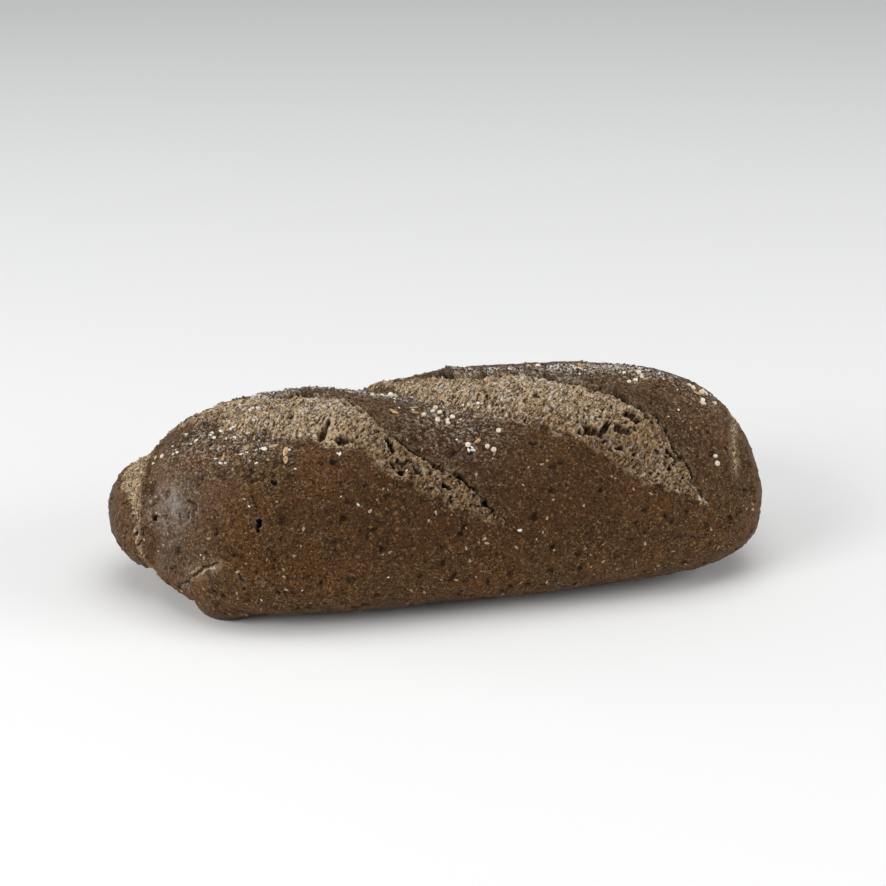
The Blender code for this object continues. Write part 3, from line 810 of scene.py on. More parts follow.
class Value:
    """A number socket that adds a Math node for each operator used on it."""

    def __init__(self, sheet, socket):
        self.sheet = sheet
        self.socket = socket

    def combine(self, operation, *others, clamp=False):
        values = {number + 1: other for number, other in enumerate(others)}
        made = self.sheet.node("ShaderNodeMath", {"operation": operation, "use_clamp": clamp},
                               {0: self, **values})
        return Value(self.sheet, made.outputs[0])

    def __add__(self, other):
        return self.combine("ADD", other)

    __radd__ = __add__

    def __sub__(self, other):
        return self.combine("SUBTRACT", other)

    def __rsub__(self, other):
        return self.sheet.number(other).combine("SUBTRACT", self)

    def __mul__(self, other):
        return self.combine("MULTIPLY", other)

    __rmul__ = __mul__

    def most(self, other):
        return self.combine("MAXIMUM", other)

    def held(self):
        """The value, held between 0 and 1."""
        return self.combine("ADD", 0.0, clamp=True)

    def step(self, low, high):
        """Smooth rise from 0 at low to 1 at high."""
        made = self.sheet.node("ShaderNodeMapRange", {"interpolation_type": "SMOOTHSTEP"},
                               {"Value": self, "From Min": low, "From Max": high})
        return Value(self.sheet, made.outputs["Result"])


class Sheet:
    """The node sheet of one material."""

    def __init__(self, name, **constants):
        self.material = bpy.data.materials.new(name)
        self.material.use_nodes = True
        self.nodes = self.material.node_tree.nodes
        self.links = self.material.node_tree.links
        self.shader = self.nodes["Principled BSDF"]
        for socket, value in constants.items():
            self.shader.inputs[socket.replace("_", " ")].default_value = value
        self.place = self.node("ShaderNodeTexCoord").outputs["Object"]

    def node(self, kind, settings=None, inputs=None):
        made = self.nodes.new(kind)
        for name, value in (settings or {}).items():
            setattr(made, name, value)
        for name, value in (inputs or {}).items():
            self.feed(made.inputs[name], value)
        return made

    def feed(self, socket, value):
        value = getattr(value, "socket", value)
        if isinstance(value, bpy.types.NodeSocket):
            self.links.new(value, socket)
        else:
            socket.default_value = value

    def number(self, value):
        made = self.node("ShaderNodeValue")
        made.outputs[0].default_value = value
        return Value(self, made.outputs[0])

    def mask(self, name):
        return Value(self, self.node("ShaderNodeAttribute", {"attribute_name": name}).outputs["Fac"])

    def noise(self, size, detail=3.0, roughness=0.55, place=None):
        """Cloudy noise around 0.5, with lumps of the given size."""
        made = self.node("ShaderNodeTexNoise", inputs={
            "Vector": place or self.place, "Scale": 1.0 / size, "Detail": detail, "Roughness": roughness})
        return Value(self, made.outputs["Fac"])

    def torn_place(self):
        """Places drawn out across the cuts, the way the crumb tears."""
        made = self.node("ShaderNodeMapping", {"vector_type": "TEXTURE"}, {
            "Vector": self.place, "Rotation": TEAR_TURN, "Scale": TEAR_STRETCH})
        return made.outputs[0]

    def cells(self, size):
        """Distance from the middles of scattered ragged cells, and each cell's own random value."""
        bend = self.node("ShaderNodeTexNoise", inputs={"Vector": self.place, "Scale": 1.3 / size})
        ragged = self.node("ShaderNodeVectorMath", {"operation": "MULTIPLY_ADD"},
                           {0: bend.outputs["Color"], 1: (2.6 * size,) * 3, 2: self.place})
        made = self.node("ShaderNodeTexVoronoi", inputs={"Vector": ragged.outputs[0], "Scale": 1.0 / size})
        channels = self.node("ShaderNodeSeparateColor", inputs={"Color": made.outputs["Color"]})
        return Value(self, made.outputs["Distance"]), Value(self, channels.outputs[0])

    def specks(self, size, reach, share):
        """Round specks: their reach in cell sizes, in a share of the cells."""
        distance, pick = self.cells(size)
        return distance.step(reach, reach * 0.6) * pick.step(share + 0.02, share)

    def mix(self, factor, first, second):
        """First colour where the factor is 0, second where it is 1."""
        made = self.node("ShaderNodeMix", {"data_type": "RGBA"})
        self.feed(made.inputs[0], factor)
        self.feed(made.inputs[6], first)
        self.feed(made.inputs[7], second)
        return made.outputs[2]

    def finish(self, colour, roughness, height, relief):
        self.feed(self.shader.inputs["Base Color"], colour)
        self.feed(self.shader.inputs["Roughness"], roughness)
        bump = self.node("ShaderNodeBump", inputs={"Strength": 1.0, "Distance": relief, "Height": height})
        self.links.new(bump.outputs["Normal"], self.shader.inputs["Normal"])
        return self.material


def rgba(colour, share=1.0):
    return (colour[0] * share, colour[1] * share, colour[2] * share, 1.0)


def crumb_colour(sheet, colours, masks, fibre, grain, pick, fleck):
    """Greyish brown crumb, pale on its threads and rims, with painted shade in its pores, gaps and low
    places and painted light on its high places.
    """
    broad = sheet.noise(9 * MM, 3.0)
    tone = sheet.mix(broad.step(0.40, 0.60), rgba(colours.crumb, 0.42), rgba(colours.crumb, 1.35))
    brown = (masks["brown"] + broad.step(0.5, 0.3) * 0.4).held()
    tone = sheet.mix(brown, tone, rgba(colours.crumb_brown))
    # Painted shade from the dark mask, plus dark specks, both in the crumb_pit colour
    dark = masks["dark"] * 0.9 + fibre.step(0.50, 0.42) + fleck.step(0.24, 0.14) * 0.6
    dark = dark + pick.step(0.16, 0.1) * 0.7 + sheet.noise(4 * MM, 2.0).step(0.45, 0.34) * 0.4
    tone = sheet.mix(dark.held(), tone, rgba(colours.crumb_pit))
    # Less pale where browner and where painted shade lies
    lit = (1.0 - 0.6 * masks["brown"]) * (1.0 - 0.8 * masks["dark"])
    # Painted light on high places, with pale threads, grains, flecks and rims
    pale = masks["high"] * 0.4 + fibre.step(0.52, 0.58) * (0.4 + 0.5 * masks["flour"])
    pale = pale + grain.step(0.54, 0.58) * (0.3 + 0.4 * masks["flour"])
    pale = (pale + fleck.step(0.8, 0.88) * 0.5 + masks["rim"] * (0.2 + 0.5 * fibre.step(0.44, 0.56))) * lit
    tone = sheet.mix(pale.held(), tone, rgba(colours.crumb_thread))
    white = (pick + masks["flour"] * 0.15).step(0.88, 0.94) * 0.8 * lit
    return sheet.mix(white.held(), tone, rgba(colours.flour))


def crust_colour(sheet, colours, masks, fine, grain, pick, fleck):
    """Dark baked crust: red and olive patches, bran, dark specks and flour dust, with painted shade in its
    gaps, hollows and low places, painted shade on its front, and painted glints where it has a sheen.
    """
    patch = sheet.noise(22 * MM, 3.0, 0.6)
    mottle = sheet.noise(3.5 * MM, 4.0, 0.65)
    dusting = sheet.noise(1.3 * MM, 4.0, 0.75)
    base = sheet.mix(patch.step(0.42, 0.6), rgba(colours.crust), rgba(colours.crust_red))
    # Redder, darker crust where the brown mask lies; on the front of the crust this is painted shade
    base = sheet.mix(masks["brown"], base, rgba(colours.crust_red, 0.62))
    clear = 1.0 - 0.55 * masks["brown"]
    base = sheet.mix(mottle.step(0.5, 0.7) * 0.6, base, rgba(colours.crust_dark))
    base = sheet.mix(fine.step(0.48, 0.36) * 0.9, base, rgba(colours.crust_dark))
    base = sheet.mix(fine.step(0.54, 0.68) * 0.5 * clear, base, rgba(colours.crust_bran, 0.7))
    base = sheet.mix(pick.step(0.18, 0.1) * 0.8, base, rgba(colours.crust_dark, 0.5))
    bran = pick.step(0.93, 0.96) * 0.7 + grain.step(0.6, 0.68) * 0.4 * clear
    base = sheet.mix(bran, base, rgba(colours.crust_bran))
    base = sheet.mix(fleck.step(0.16, 0.08) * 0.7, base, rgba(colours.crust_dark, 0.4))
    # Pale specks of flour, more where flour lies thick, and painted glints where the crust has a sheen
    pale = fleck.step(0.92, 0.95) * (0.25 + 0.75 * masks["flour"] + 0.5 * masks["sheen"]) * clear
    base = sheet.mix(pale.held(), base, rgba(colours.crumb_thread))
    # Painted shade in the gaps, under flaps, in slits, hollows, grooves and low places
    base = sheet.mix(masks["dark"] * 0.9, base, rgba(colours.crust_dark, 0.35))
    dark_specks = sheet.specks(4.5 * MM, 0.16, 0.3)
    base = sheet.mix(dark_specks * 0.8, base, rgba(colours.crust_dark, 0.4))
    rim = masks["rim"] * (0.25 + 0.65 * fine.step(0.42, 0.56))
    base = sheet.mix(rim, base, rgba(colours.crumb_thread, 0.6))
    dust = dusting + masks["flour"] * 0.14 + masks["high"] * 0.06 + mottle * 0.12
    dust = dust - masks["brown"] * 0.05
    base = sheet.mix(dust.step(0.70, 0.84) * 0.85 * (1.0 - masks["dark"]), base, rgba(colours.flour, 0.7))
    crumbs = (pick.step(0.74, 0.8) * masks["flour"] * (1.0 - masks["dark"])).held()
    return sheet.mix(crumbs, base, rgba(colours.flour, 0.95))


def bread_material(name, colours):
    """Crust where the torn mask is 0 and crumb where it is 1."""
    sheet = Sheet(name, Specular_IOR_Level=0.10, Coat_Roughness=0.36)
    masks = {key: sheet.mask(key) for key in ("torn", "rim", "flour", "brown", "sheen", "dark", "high")}
    fine = sheet.noise(0.9 * MM, 3.0, 0.65)
    fibre = sheet.noise(0.8 * MM, 3.0, 0.6, sheet.torn_place())
    grain = sheet.noise(0.5 * MM, 1.0, 0.5)
    middle = sheet.noise(2.4 * MM, 3.0, 0.6)
    distance, pick = sheet.cells(0.8 * MM)
    _, fleck = sheet.cells(0.5 * MM)
    crust = crust_colour(sheet, colours, masks, fine, grain, pick, fleck)
    crumb = crumb_colour(sheet, colours, masks, fibre, grain, pick, fleck)
    torn = (masks["torn"] * 1.4 + middle * 0.6 - 0.5).held()
    colour = sheet.mix(torn, crust, crumb)
    roughness = (0.4 + fine * 0.12 + torn * 0.4).held()
    sheet.feed(sheet.shader.inputs["Coat Weight"], (masks["sheen"] * (1.0 - torn)).held())
    height = fine * (0.5 - 0.2 * torn) + fibre * torn + distance * 0.25 + middle * 0.8 * (1.0 - torn)
    return sheet.finish(colour, roughness, height, 1.0 * MM)


def seed_material(name, colour, shade, gloss):
    sheet = Sheet(name, Specular_IOR_Level=0.5)
    grain = sheet.noise(0.6 * MM, 3.0)
    tone = sheet.noise(5 * MM, 2.0)
    colour = sheet.mix(tone.step(0.35, 0.65), rgba(colour, 0.8), rgba(colour, 1.1))
    colour = sheet.mix((grain.step(0.55, 0.8) * 0.5).most(sheet.mask("tip") * 0.8), colour, rgba(shade))
    return sheet.finish(colour, gloss, grain, 0.05 * MM)


# Seeds, flakes and crumbs

# Patches that carry seeds: x, girth, reach in x, reach in girth in mm, millet, linseeds
SEED_PATCHES = ((-19, -3, 9, 4, 4, 0), (-4, 25, 10, 9, 7, 2), (14, 44, 11, 8, 4, 1),
                (-25, 23, 4, 3, 0, 1), (1, 10, 4, 3, 0, 1), (88, 9, 6, 9, 4, 1),
                (121, 20, 6, 16, 8, 1), (115, 61, 5, 3, 2, 0), (-85, 26, 12, 9, 0, 3),
                (-72, 42, 4, 3, 0, 2), (-62, -9, 10, 2, 0, 2), (-119, 2, 3, 8, 1, 1),
                (-70, -52, 40, 16, 5, 4), (60, -40, 56, 16, 9, 4), (50, -8, 36, 5, 2, 2))
BROWN_LINSEEDS = ((-69.4, 41.6), (-70.6, 46.1), (-100, 20), (-60, 30), (8, 30), (12, 36), (-8, 18))
# Streaks of flour: x, girth, half length in mm, and number of clumps
FLOUR_STREAKS = ((-98, 9.2, 2.2, 5), (-87.6, 21.9, 4.0, 9), (-89.9, 35.3, 1.2, 4), (-84, 35.2, 4.5, 12),
                 (-99.9, 33.1, 1.0, 4), (-98, 37.3, 1.6, 5), (-114.3, 15.1, 1.2, 4), (-121.9, 4.3, 1.0, 3),
                 (-50.7, 44.8, 0.7, 5), (4.8, 49.4, 1.4, 10), (-92, 14, 3.0, 8), (-80, 9, 4.0, 10),
                 (100.3, -6.5, 2.5, 8), (66.2, 1.3, 2.5, 9), (-106, 10, 2.0, 5), (84.4, 3, 2.0, 8))
SEED_SPACING = 2.9 * MM
SEED_DRAW = 7
SEED_TRIES = 400
# Small bodies: half sizes in mm, least and largest share of them, and lift in half thicknesses
MILLET = ((1.15, 1.15, 1.05), (0.85, 1.1), 0.4)
LINSEED = ((2.3, 0.95, 0.5), (0.85, 1.1), 0.45)
BROWN_LINSEED = ((2.1, 1.0, 0.55), (0.8, 1.1), 0.45)
BRAN_FLAKE = ((0.75, 0.45, 0.12), (0.3, 1.4), 0.9)
FLOUR_CLUMP = ((0.8, 0.5, 0.3), (0.4, 1.4), 0.3)
CRUST_CRUMB = ((0.5, 0.42, 0.36), (0.5, 1.7), 0.25)
MILLET_BREADTH = 2.3 * MM
LINSEED_LENGTH = 4.6 * MM
CLOD_FORMS = 6
# How many lie in patches, besides those that the settings count
PATCH_LINSEEDS = 12
PATCH_FLAKES = 130
PATCH_CLUMPS = 170
PATCH_CRUMBS = 500
# Crumbs along the cuts: the share at the back edge, and middle and spread past each edge in mm
BACK_SHARE = 0.62
BACK_SPREAD = (0.4, 1.3)
FRONT_SPREAD = (0.0, 2.2)
LEAST_WIDTH = 4.0
# Spread of a streak of flour in mm, of a patch in shares of its reach, and of what lies everywhere in mm
STREAK_SPREAD = 0.35
PATCH_SPREAD = 0.6
SPREAD_X = (-134, 136)
SPREAD_GIRTH = (-125, 125)
# Most that a seed leans out of the surface, in radians
SEED_LEAN = 0.35
# How far outside the crust a seed starts on its way down to it
DROP = 20.0 * MM


def on_torn_crumb(x, girth):
    return any(min(cut_place(cut, x, girth)[:2]) > -1.5 * MM for cut in CUTS)


def seed_places(draw):
    """Kind and (x, girth) of every seed, kept apart from each other and off the torn crumb."""
    places = []
    for middle_x, middle_girth, reach_x, reach_girth, millet, linseeds in SEED_PATCHES:
        wanted = ["millet"] * millet + ["linseed"] * linseeds
        for _ in range(SEED_TRIES):
            if not wanted:
                break
            x = (middle_x + draw.uniform(-1, 1) * reach_x) * MM
            girth = (middle_girth + draw.uniform(-1, 1) * reach_girth) * MM
            apart = all(math.hypot(x - other[1], girth - other[2]) > SEED_SPACING for other in places)
            if apart and not on_torn_crumb(x, girth):
                places.append((wanted.pop(), x, girth))
    return places


def round_form(sides, stacks, shape):
    """Points and triangles of a closed body; shape turns (tilt, turn) into a point."""
    tilts = np.linspace(0.0, math.pi, stacks + 1)[1:-1]
    turns = np.linspace(0.0, 2 * math.pi, sides, endpoint=False)
    tilt, turn = np.meshgrid(tilts, turns, indexing="ij")
    body = shape(tilt, turn).reshape(-1, 3)
    ends = np.stack([shape(np.array(0.0), np.array(0.0)), shape(np.array(math.pi), np.array(0.0))])
    quads = grid_quads(stacks - 1, sides, True)
    triangles = np.concatenate([quads[:, [0, 2, 1]], quads[:, [0, 3, 2]]])
    first, last = len(body), len(body) + 1
    ring = np.arange(sides)
    low = ring + (stacks - 2) * sides
    caps = np.concatenate([np.stack([np.full(sides, first), ring, np.roll(ring, -1)], axis=-1),
                           np.stack([np.full(sides, last), np.roll(low, -1), low], axis=-1)])
    return np.concatenate([body, ends]), np.concatenate([triangles, caps])


def sphere(tilt, turn):
    return np.stack([np.sin(tilt) * np.cos(turn), np.sin(tilt) * np.sin(turn),
                     np.cos(tilt) * np.ones(np.shape(turn))], axis=-1)


def millet_shape(tilt, turn):
    """Ball with a small dimple at one end."""
    reach = 1.0 - 0.3 * np.exp(-(tilt / 0.42) ** 2)
    return sphere(tilt, turn) * reach[..., None]


def linseed_shape(tilt, turn):
    """Flat drop, pointed at one end."""
    along = np.cos(tilt)
    breadth = np.sin(tilt) * (1.0 - 0.28 * along) * np.where(along > 0, 1.0 - 0.35 * along ** 3, 1.0)
    return np.stack([along, breadth * np.cos(turn), breadth * np.sin(turn)], axis=-1)


def flake_shape(tilt, turn):
    """Thin curled scale of bran."""
    place = sphere(tilt, turn)
    ragged = 1.0 + 0.18 * np.sin(3.0 * turn + 1.0) + 0.1 * np.sin(7.0 * turn)
    curl = 1.6 * place[..., 0] ** 2 - 0.8
    return np.stack([place[..., 0] * ragged, place[..., 1] * ragged, place[..., 2] + curl], axis=-1)


def clod_shape(number):
    """Irregular lump, different for each number."""

    def shape(tilt, turn):
        place = sphere(tilt, turn)
        return place * (1.0 + 0.55 * lumps(place + number * 3.7, 1.1, 31, 2))[..., None]

    return shape


class Sower:
    """Sets small bodies on the crust and the crumb."""

    def __init__(self, draw):
        self.draw = draw
        points, faces = [], []
        for piece in bpy.data.objects:
            if piece.get("holds_seeds"):
                start = len(points)
                points.extend(vertex.co.copy() for vertex in piece.data.vertices)
                faces.extend([start + corner for corner in face.vertices] for face in piece.data.polygons)
        self.tree = BVHTree.FromPolygons(points, faces)

    def seat(self, x, girth):
        """Place on the surface, met from outside, and its normal."""
        point = Vector(bare_points(np.array(x), np.array(girth)).tolist())
        mid_y, mid_z = spine(np.array(x))
        outward = (point - Vector((x - SEAT[0], mid_y - SEAT[1], mid_z))).normalized()
        location, normal, _, _ = self.tree.ray_cast(point + outward * DROP, -outward)
        return location, normal

    def sow(self, name, forms, body, places, share=1.0):
        """One mesh of many bodies: forms to choose from, their sizes, places and share of full size."""
        size, spread, lift = body
        every_point, every_triangle, tips = [], [], []
        count = 0
        for location, normal in (self.seat(*place) for place in places):
            if location is None:
                continue
            points, triangles = self.draw.choice(forms)
            scale = np.array(size) * self.draw.uniform(*spread) * share * MM
            turned = normal.to_track_quat("Z", "Y").to_matrix()
            lean = Euler((self.draw.uniform(-SEED_LEAN, SEED_LEAN), self.draw.uniform(-SEED_LEAN, SEED_LEAN),
                          self.draw.uniform(0, 2 * math.pi)))
            basis = np.array(turned @ lean.to_matrix())
            every_triangle.append(triangles + count)
            every_point.append((points * scale) @ basis.T + np.array(location + normal * scale[2] * lift))
            tips.append(smooth_step(0.45, 0.2, np.hypot(points[:, 0], points[:, 1])) * (points[:, 2] > 0))
            count += len(points)
        data = new_mesh(name, np.concatenate(every_point), np.concatenate(every_triangle))
        set_masks(data, {"tip": np.concatenate(tips)})
        return new_piece(name, data)


def in_metres(places):
    return [(x * MM, girth * MM) for x, girth in places]


def streak_places(draw):
    """Places in short rows along X, where flour lies in streaks."""
    return [((x + draw.uniform(-1, 1) * half_length) * MM, (girth + draw.gauss(0.0, STREAK_SPREAD)) * MM)
            for x, girth, half_length, count in FLOUR_STREAKS for _ in range(count)]


def edge_places(count, draw):
    """Places along both edges of the cuts, more of them at the back edge."""
    places = []
    while len(places) < count:
        cut = draw.choice(CUTS)
        along = draw.uniform(cut[0][0], cut[-1][0])
        front, back = (np.interp(along, [row[0] for row in cut], [row[side] for row in cut])
                       for side in (1, 2))
        at_back = draw.random() < BACK_SHARE
        across = back + draw.gauss(*BACK_SPREAD) if at_back else front + draw.gauss(*FRONT_SPREAD)
        if back - front > LEAST_WIDTH:
            places.append(((along + across) / math.sqrt(2) * MM, (along - across) / math.sqrt(2) * MM))
    return places


def patch_places(rows, count, draw):
    """Places spread round the middles of soft patches, by strength and size."""
    weights = [row[2] * row[3] * row[4] for row in rows]
    chosen = draw.choices(rows, weights, k=count)
    return [(draw.gauss(row[0], row[2] * PATCH_SPREAD) * MM, draw.gauss(row[1], row[3] * PATCH_SPREAD) * MM)
            for row in chosen]


def spread_places(count, draw):
    """Places all over the upper crust."""
    return [(draw.uniform(*SPREAD_X) * MM, draw.uniform(*SPREAD_GIRTH) * MM) for _ in range(count)]


# Add-on


class LoafSettings(bpy.types.PropertyGroup):
    """Sizes and colours of the loaf's finish"""

    detail: bpy.props.FloatProperty(
        name="Detail", description="Share of the full number of facets along each way", default=1.0,
        min=0.2, max=1.0)
    crumb_relief: bpy.props.FloatProperty(
        name="Crumb relief", description="Strength of the torn crumb's fibres, folds and pores",
        default=1.0, min=0.0, max=1.5)
    millet_breadth: bpy.props.FloatProperty(
        name="Millet breadth", description="Full breadth of a millet grain", default=MILLET_BREADTH,
        min=1.0 * MM, max=5.0 * MM, unit="LENGTH")
    linseed_length: bpy.props.FloatProperty(
        name="Linseed length", description="Full length of a linseed", default=LINSEED_LENGTH,
        min=2.0 * MM, max=8.0 * MM, unit="LENGTH")
    flake_count: bpy.props.IntProperty(
        name="Bran flakes", description="Flakes of bran spread all over the crust", default=700,
        min=1, max=2000)
    clump_count: bpy.props.IntProperty(
        name="Flour clumps", description="Single clumps of flour away from the floury patches", default=30,
        min=1, max=500)
    crumb_count: bpy.props.IntProperty(
        name="Crumbs", description="Crumbs of crust along the edges of the cuts", default=800,
        min=1, max=3000)
    crust: bpy.props.FloatVectorProperty(
        name="Crust", description="Baked crust", subtype="COLOR", size=3, default=(0.080, 0.038, 0.008))
    crust_red: bpy.props.FloatVectorProperty(
        name="Red crust", description="Redder patches of the crust", subtype="COLOR", size=3,
        default=(0.112, 0.043, 0.008))
    crust_dark: bpy.props.FloatVectorProperty(
        name="Dark crust", description="Darkest baked spots", subtype="COLOR", size=3,
        default=(0.022, 0.010, 0.004))
    crust_bran: bpy.props.FloatVectorProperty(
        name="Bran", description="Fine bran in the crust", subtype="COLOR", size=3,
        default=(0.24, 0.138, 0.064))
    crumb: bpy.props.FloatVectorProperty(
        name="Crumb", description="Torn crumb", subtype="COLOR", size=3, default=(0.24, 0.136, 0.057))
    crumb_brown: bpy.props.FloatVectorProperty(
        name="Brown crumb", description="Browner parts of the torn crumb", subtype="COLOR", size=3,
        default=(0.185, 0.094, 0.031))
    crumb_thread: bpy.props.FloatVectorProperty(
        name="Crumb threads", description="Pale threads of the torn crumb", subtype="COLOR", size=3,
        default=(0.61, 0.445, 0.272))
    crumb_pit: bpy.props.FloatVectorProperty(
        name="Crumb pits", description="Small hollows of the torn crumb", subtype="COLOR", size=3,
        default=(0.035, 0.015, 0.006))
    flour: bpy.props.FloatVectorProperty(
        name="Flour", description="Flour and grain flakes", subtype="COLOR", size=3,
        default=(0.80, 0.76, 0.68))
    millet: bpy.props.FloatVectorProperty(
        name="Millet", description="Millet grains", subtype="COLOR", size=3, default=(0.80, 0.71, 0.55))
    bran: bpy.props.FloatVectorProperty(
        name="Flake colour", description="Flakes of bran", subtype="COLOR", size=3,
        default=(0.36, 0.24, 0.14))
    linseed: bpy.props.FloatVectorProperty(
        name="Linseed", description="Golden linseeds", subtype="COLOR", size=3,
        default=(0.52, 0.34, 0.16))


def settings():
    return bpy.context.scene.loaf_settings


def dress(piece, material):
    piece.data.materials.clear()
    piece.data.materials.append(material)
    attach(piece, "root")
    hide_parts("loaf")


class LOAF_OT_crust(bpy.types.Operator):
    """Make the crust"""

    bl_idname = "loaf.crust"
    bl_label = "Crust"

    def execute(self, context):
        chosen = settings()
        piece = new_piece("loaf_crust", crust_mesh(chosen.detail))
        modifier = piece.modifiers.new("fewer_facets", "DECIMATE")
        modifier.ratio = min(1.0, CRUST_TRIANGLES / (2 * len(piece.data.polygons)))
        apply_modifiers(piece)
        piece["holds_seeds"] = True
        dress(piece, bread_material("baked_crust", chosen))
        return {"FINISHED"}


class LOAF_OT_crumb(bpy.types.Operator):
    """Make the torn crumb in both cuts"""

    bl_idname = "loaf.crumb"
    bl_label = "Torn crumb"

    def execute(self, context):
        chosen = settings()
        material = bread_material("torn_crumb", chosen)
        for name, cut in (("torn_crumb_left", CUT_ONE), ("torn_crumb_right", CUT_TWO)):
            piece = new_piece(name, crumb_mesh(name, cut, chosen.detail, chosen.crumb_relief))
            piece["holds_seeds"] = True
            dress(piece, material)
        return {"FINISHED"}


class LOAF_OT_seeds(bpy.types.Operator):
    """Set the seeds, flakes, flour and crumbs on the loaf"""

    bl_idname = "loaf.seeds"
    bl_label = "Seeds and crumbs"

    def execute(self, context):
        chosen = settings()
        sower = Sower(random.Random(SEED_DRAW))
        places = {"millet": [], "linseed": []}
        for kind, x, girth in seed_places(sower.draw):
            places[kind].append((x, girth))
        millet = sower.sow("millet_grains", [round_form(14, 10, millet_shape)], MILLET,
                           places["millet"], chosen.millet_breadth / MILLET_BREADTH)
        dress(millet, seed_material("millet", chosen.millet, chosen.linseed, 0.55))
        linseed = [round_form(12, 14, linseed_shape)]
        share = chosen.linseed_length / LINSEED_LENGTH
        golden = sower.sow("golden_linseeds", linseed, LINSEED, places["linseed"], share)
        dress(golden, seed_material("linseed", chosen.linseed, chosen.crust_red, 0.4))
        dark_places = in_metres(BROWN_LINSEEDS) + patch_places(FLOUR_PATCHES, PATCH_LINSEEDS, sower.draw)
        brown = sower.sow("brown_linseeds", linseed, BROWN_LINSEED, dark_places, share)
        dress(brown, seed_material("brown_linseed", chosen.crust_dark, chosen.crust_bran, 0.35))
        sow_flakes(sower, chosen)
        return {"FINISHED"}


def sow_flakes(sower, chosen):
    """Bran flakes, flour in clumps and streaks, and crumbs of crust along the cuts."""
    draw = sower.draw
    clods = [round_form(6, 5, clod_shape(number)) for number in range(CLOD_FORMS)]
    flakes = sower.sow(
        "bran_flakes", [round_form(10, 6, flake_shape)], BRAN_FLAKE,
        spread_places(chosen.flake_count, draw) + patch_places(FLOUR_PATCHES, PATCH_FLAKES, draw))
    dress(flakes, seed_material("bran", chosen.bran, chosen.crust_bran, 0.7))
    floury = streak_places(draw) + patch_places(FLOUR_PATCHES, PATCH_CLUMPS, draw)
    flour = sower.sow("flour_clumps", clods, FLOUR_CLUMP, floury + spread_places(chosen.clump_count, draw))
    dress(flour, seed_material("flour", chosen.flour, chosen.flour, 0.9))
    crumbs = sower.sow(
        "crust_crumbs", clods, CRUST_CRUMB,
        edge_places(chosen.crumb_count, draw) + patch_places(FLOUR_PATCHES, PATCH_CRUMBS, draw))
    dress(crumbs, seed_material("crumbs", chosen.crust, chosen.crust_bran, 0.7))


class LOAF_OT_stage(bpy.types.Operator):
    """Make the floor, the lights and the camera"""

    bl_idname = "loaf.stage"
    bl_label = "Stage"

    def execute(self, context):
        make_floor()
        make_lights()
        make_camera()
        return {"FINISHED"}


FLOOR_SIZE = 6.0
FLOOR_COLOUR = (0.90, 0.90, 0.89)
FLOOR_DROP = 0.2 * MM


def make_floor():
    half = FLOOR_SIZE / 2
    corners = [(-half, -half, -FLOOR_DROP), (half, -half, -FLOOR_DROP),
               (half, half, -FLOOR_DROP), (-half, half, -FLOOR_DROP)]
    data = bpy.data.meshes.new("floor")
    data.from_pydata(corners, [], [(0, 1, 2, 3)])
    floor = new_piece("floor", data)
    sheet = Sheet("pale_floor", Roughness=0.9)
    tone = sheet.noise(0.3, 2.0)
    colour = sheet.mix(tone, rgba(FLOOR_COLOUR, 0.99), rgba(FLOOR_COLOUR))
    data.materials.append(sheet.finish(colour, 0.9, tone, 0.1 * MM))


# Lights: name, place, width, height and power in watts
LIGHTS = (("left_window", (-1.6, -0.9, 1.0), 1.0, 1.0, 22.0),
          ("back_window", (-1.5, 0.7, 0.22), 0.9, 0.5, 12.0),
          ("top_cloth", (0.1, -0.2, 1.9), 1.6, 1.6, 17.0),
          ("right_fill", (1.8, -0.9, 0.8), 1.2, 1.0, 19.0))
LIGHT_AIM = (0.0, 0.0, 0.04)
SKY = (0.95, 0.97, 1.0)
SKY_STRENGTH = 0.28


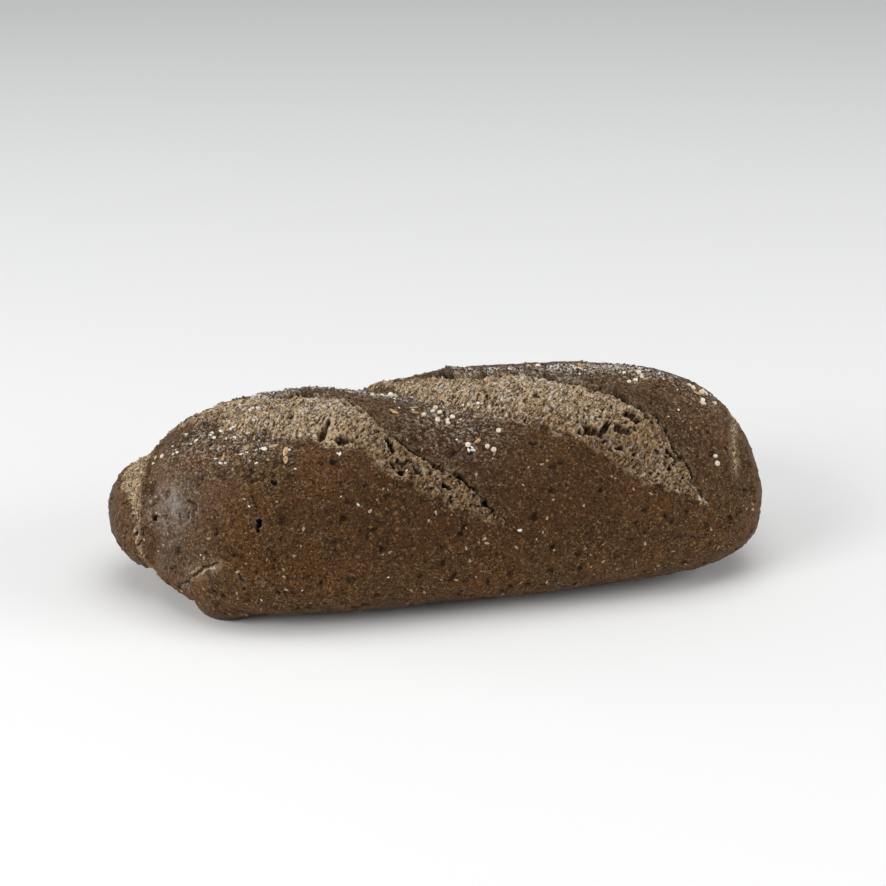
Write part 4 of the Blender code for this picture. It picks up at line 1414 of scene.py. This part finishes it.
def make_lights():
    for name, place, width, height, power in LIGHTS:
        light = bpy.data.lights.new(name, "AREA")
        light.shape = "RECTANGLE"
        light.size, light.size_y, light.energy = width, height, power
        lamp = new_piece(name, light)
        lamp.location = place
        aim = Vector(LIGHT_AIM) - Vector(place)
        lamp.rotation_euler = aim.to_track_quat("-Z", "Y").to_euler()
    world = bpy.data.worlds.new("soft_room")
    world.use_nodes = True
    background = world.node_tree.nodes["Background"]
    background.inputs["Color"].default_value = (*SKY, 1.0)
    background.inputs["Strength"].default_value = SKY_STRENGTH
    bpy.context.scene.world = world
    bpy.context.scene.view_settings.view_transform = "Standard"


def make_camera():
    """Looks at the loaf so that its middle falls on the photograph's pixel for it."""
    azimuth, elevation = math.radians(VIEW_AZIMUTH), math.radians(VIEW_ELEVATION)
    back = Vector((math.sin(azimuth) * math.cos(elevation),
                   -math.cos(azimuth) * math.cos(elevation), math.sin(elevation)))
    right = Vector((0.0, 0.0, 1.0)).cross(back).normalized()
    up = back.cross(right)
    middle = FRAME_PIXELS / 2
    aim = -back + right * ((middle - TARGET_PIXEL[0]) / FOCAL_PIXELS)
    aim = aim - up * ((middle - TARGET_PIXEL[1]) / FOCAL_PIXELS)
    data = bpy.data.cameras.new("camera")
    data.sensor_width = SENSOR
    data.lens = FOCAL_PIXELS / FRAME_PIXELS * SENSOR
    data.clip_start, data.clip_end = 0.01, 20.0
    camera = new_piece("camera", data)
    camera.location = Vector(VIEW_TARGET) + back * VIEW_DISTANCE
    camera.rotation_euler = aim.to_track_quat("-Z", "Y").to_euler()
    bpy.context.scene.camera = camera


class LOAF_PT_panel(bpy.types.Panel):
    """Buttons and settings of the loaf"""

    bl_idname = "LOAF_PT_panel"
    bl_label = "Wholegrain loaf"
    bl_space_type = "VIEW_3D"
    bl_region_type = "UI"
    bl_category = "Loaf"

    def draw(self, context):
        for operator in OPERATORS:
            self.layout.operator(operator.bl_idname)
        for name in LoafSettings.__annotations__:
            self.layout.prop(context.scene.loaf_settings, name)


OPERATORS = (LOAF_OT_stage, LOAF_OT_crust, LOAF_OT_crumb, LOAF_OT_seeds)
CLASSES = (LoafSettings, *OPERATORS, LOAF_PT_panel)


def register():
    for made in CLASSES:
        bpy.utils.register_class(made)
    bpy.types.Scene.loaf_settings = bpy.props.PointerProperty(type=LoafSettings)


def unregister():
    del bpy.types.Scene.loaf_settings
    for made in reversed(CLASSES):
        bpy.utils.unregister_class(made)


def main():
    register()
    for operator in OPERATORS:
        getattr(bpy.ops.loaf, operator.bl_idname.split(".")[1])()


if __name__ == "__main__":
    main()
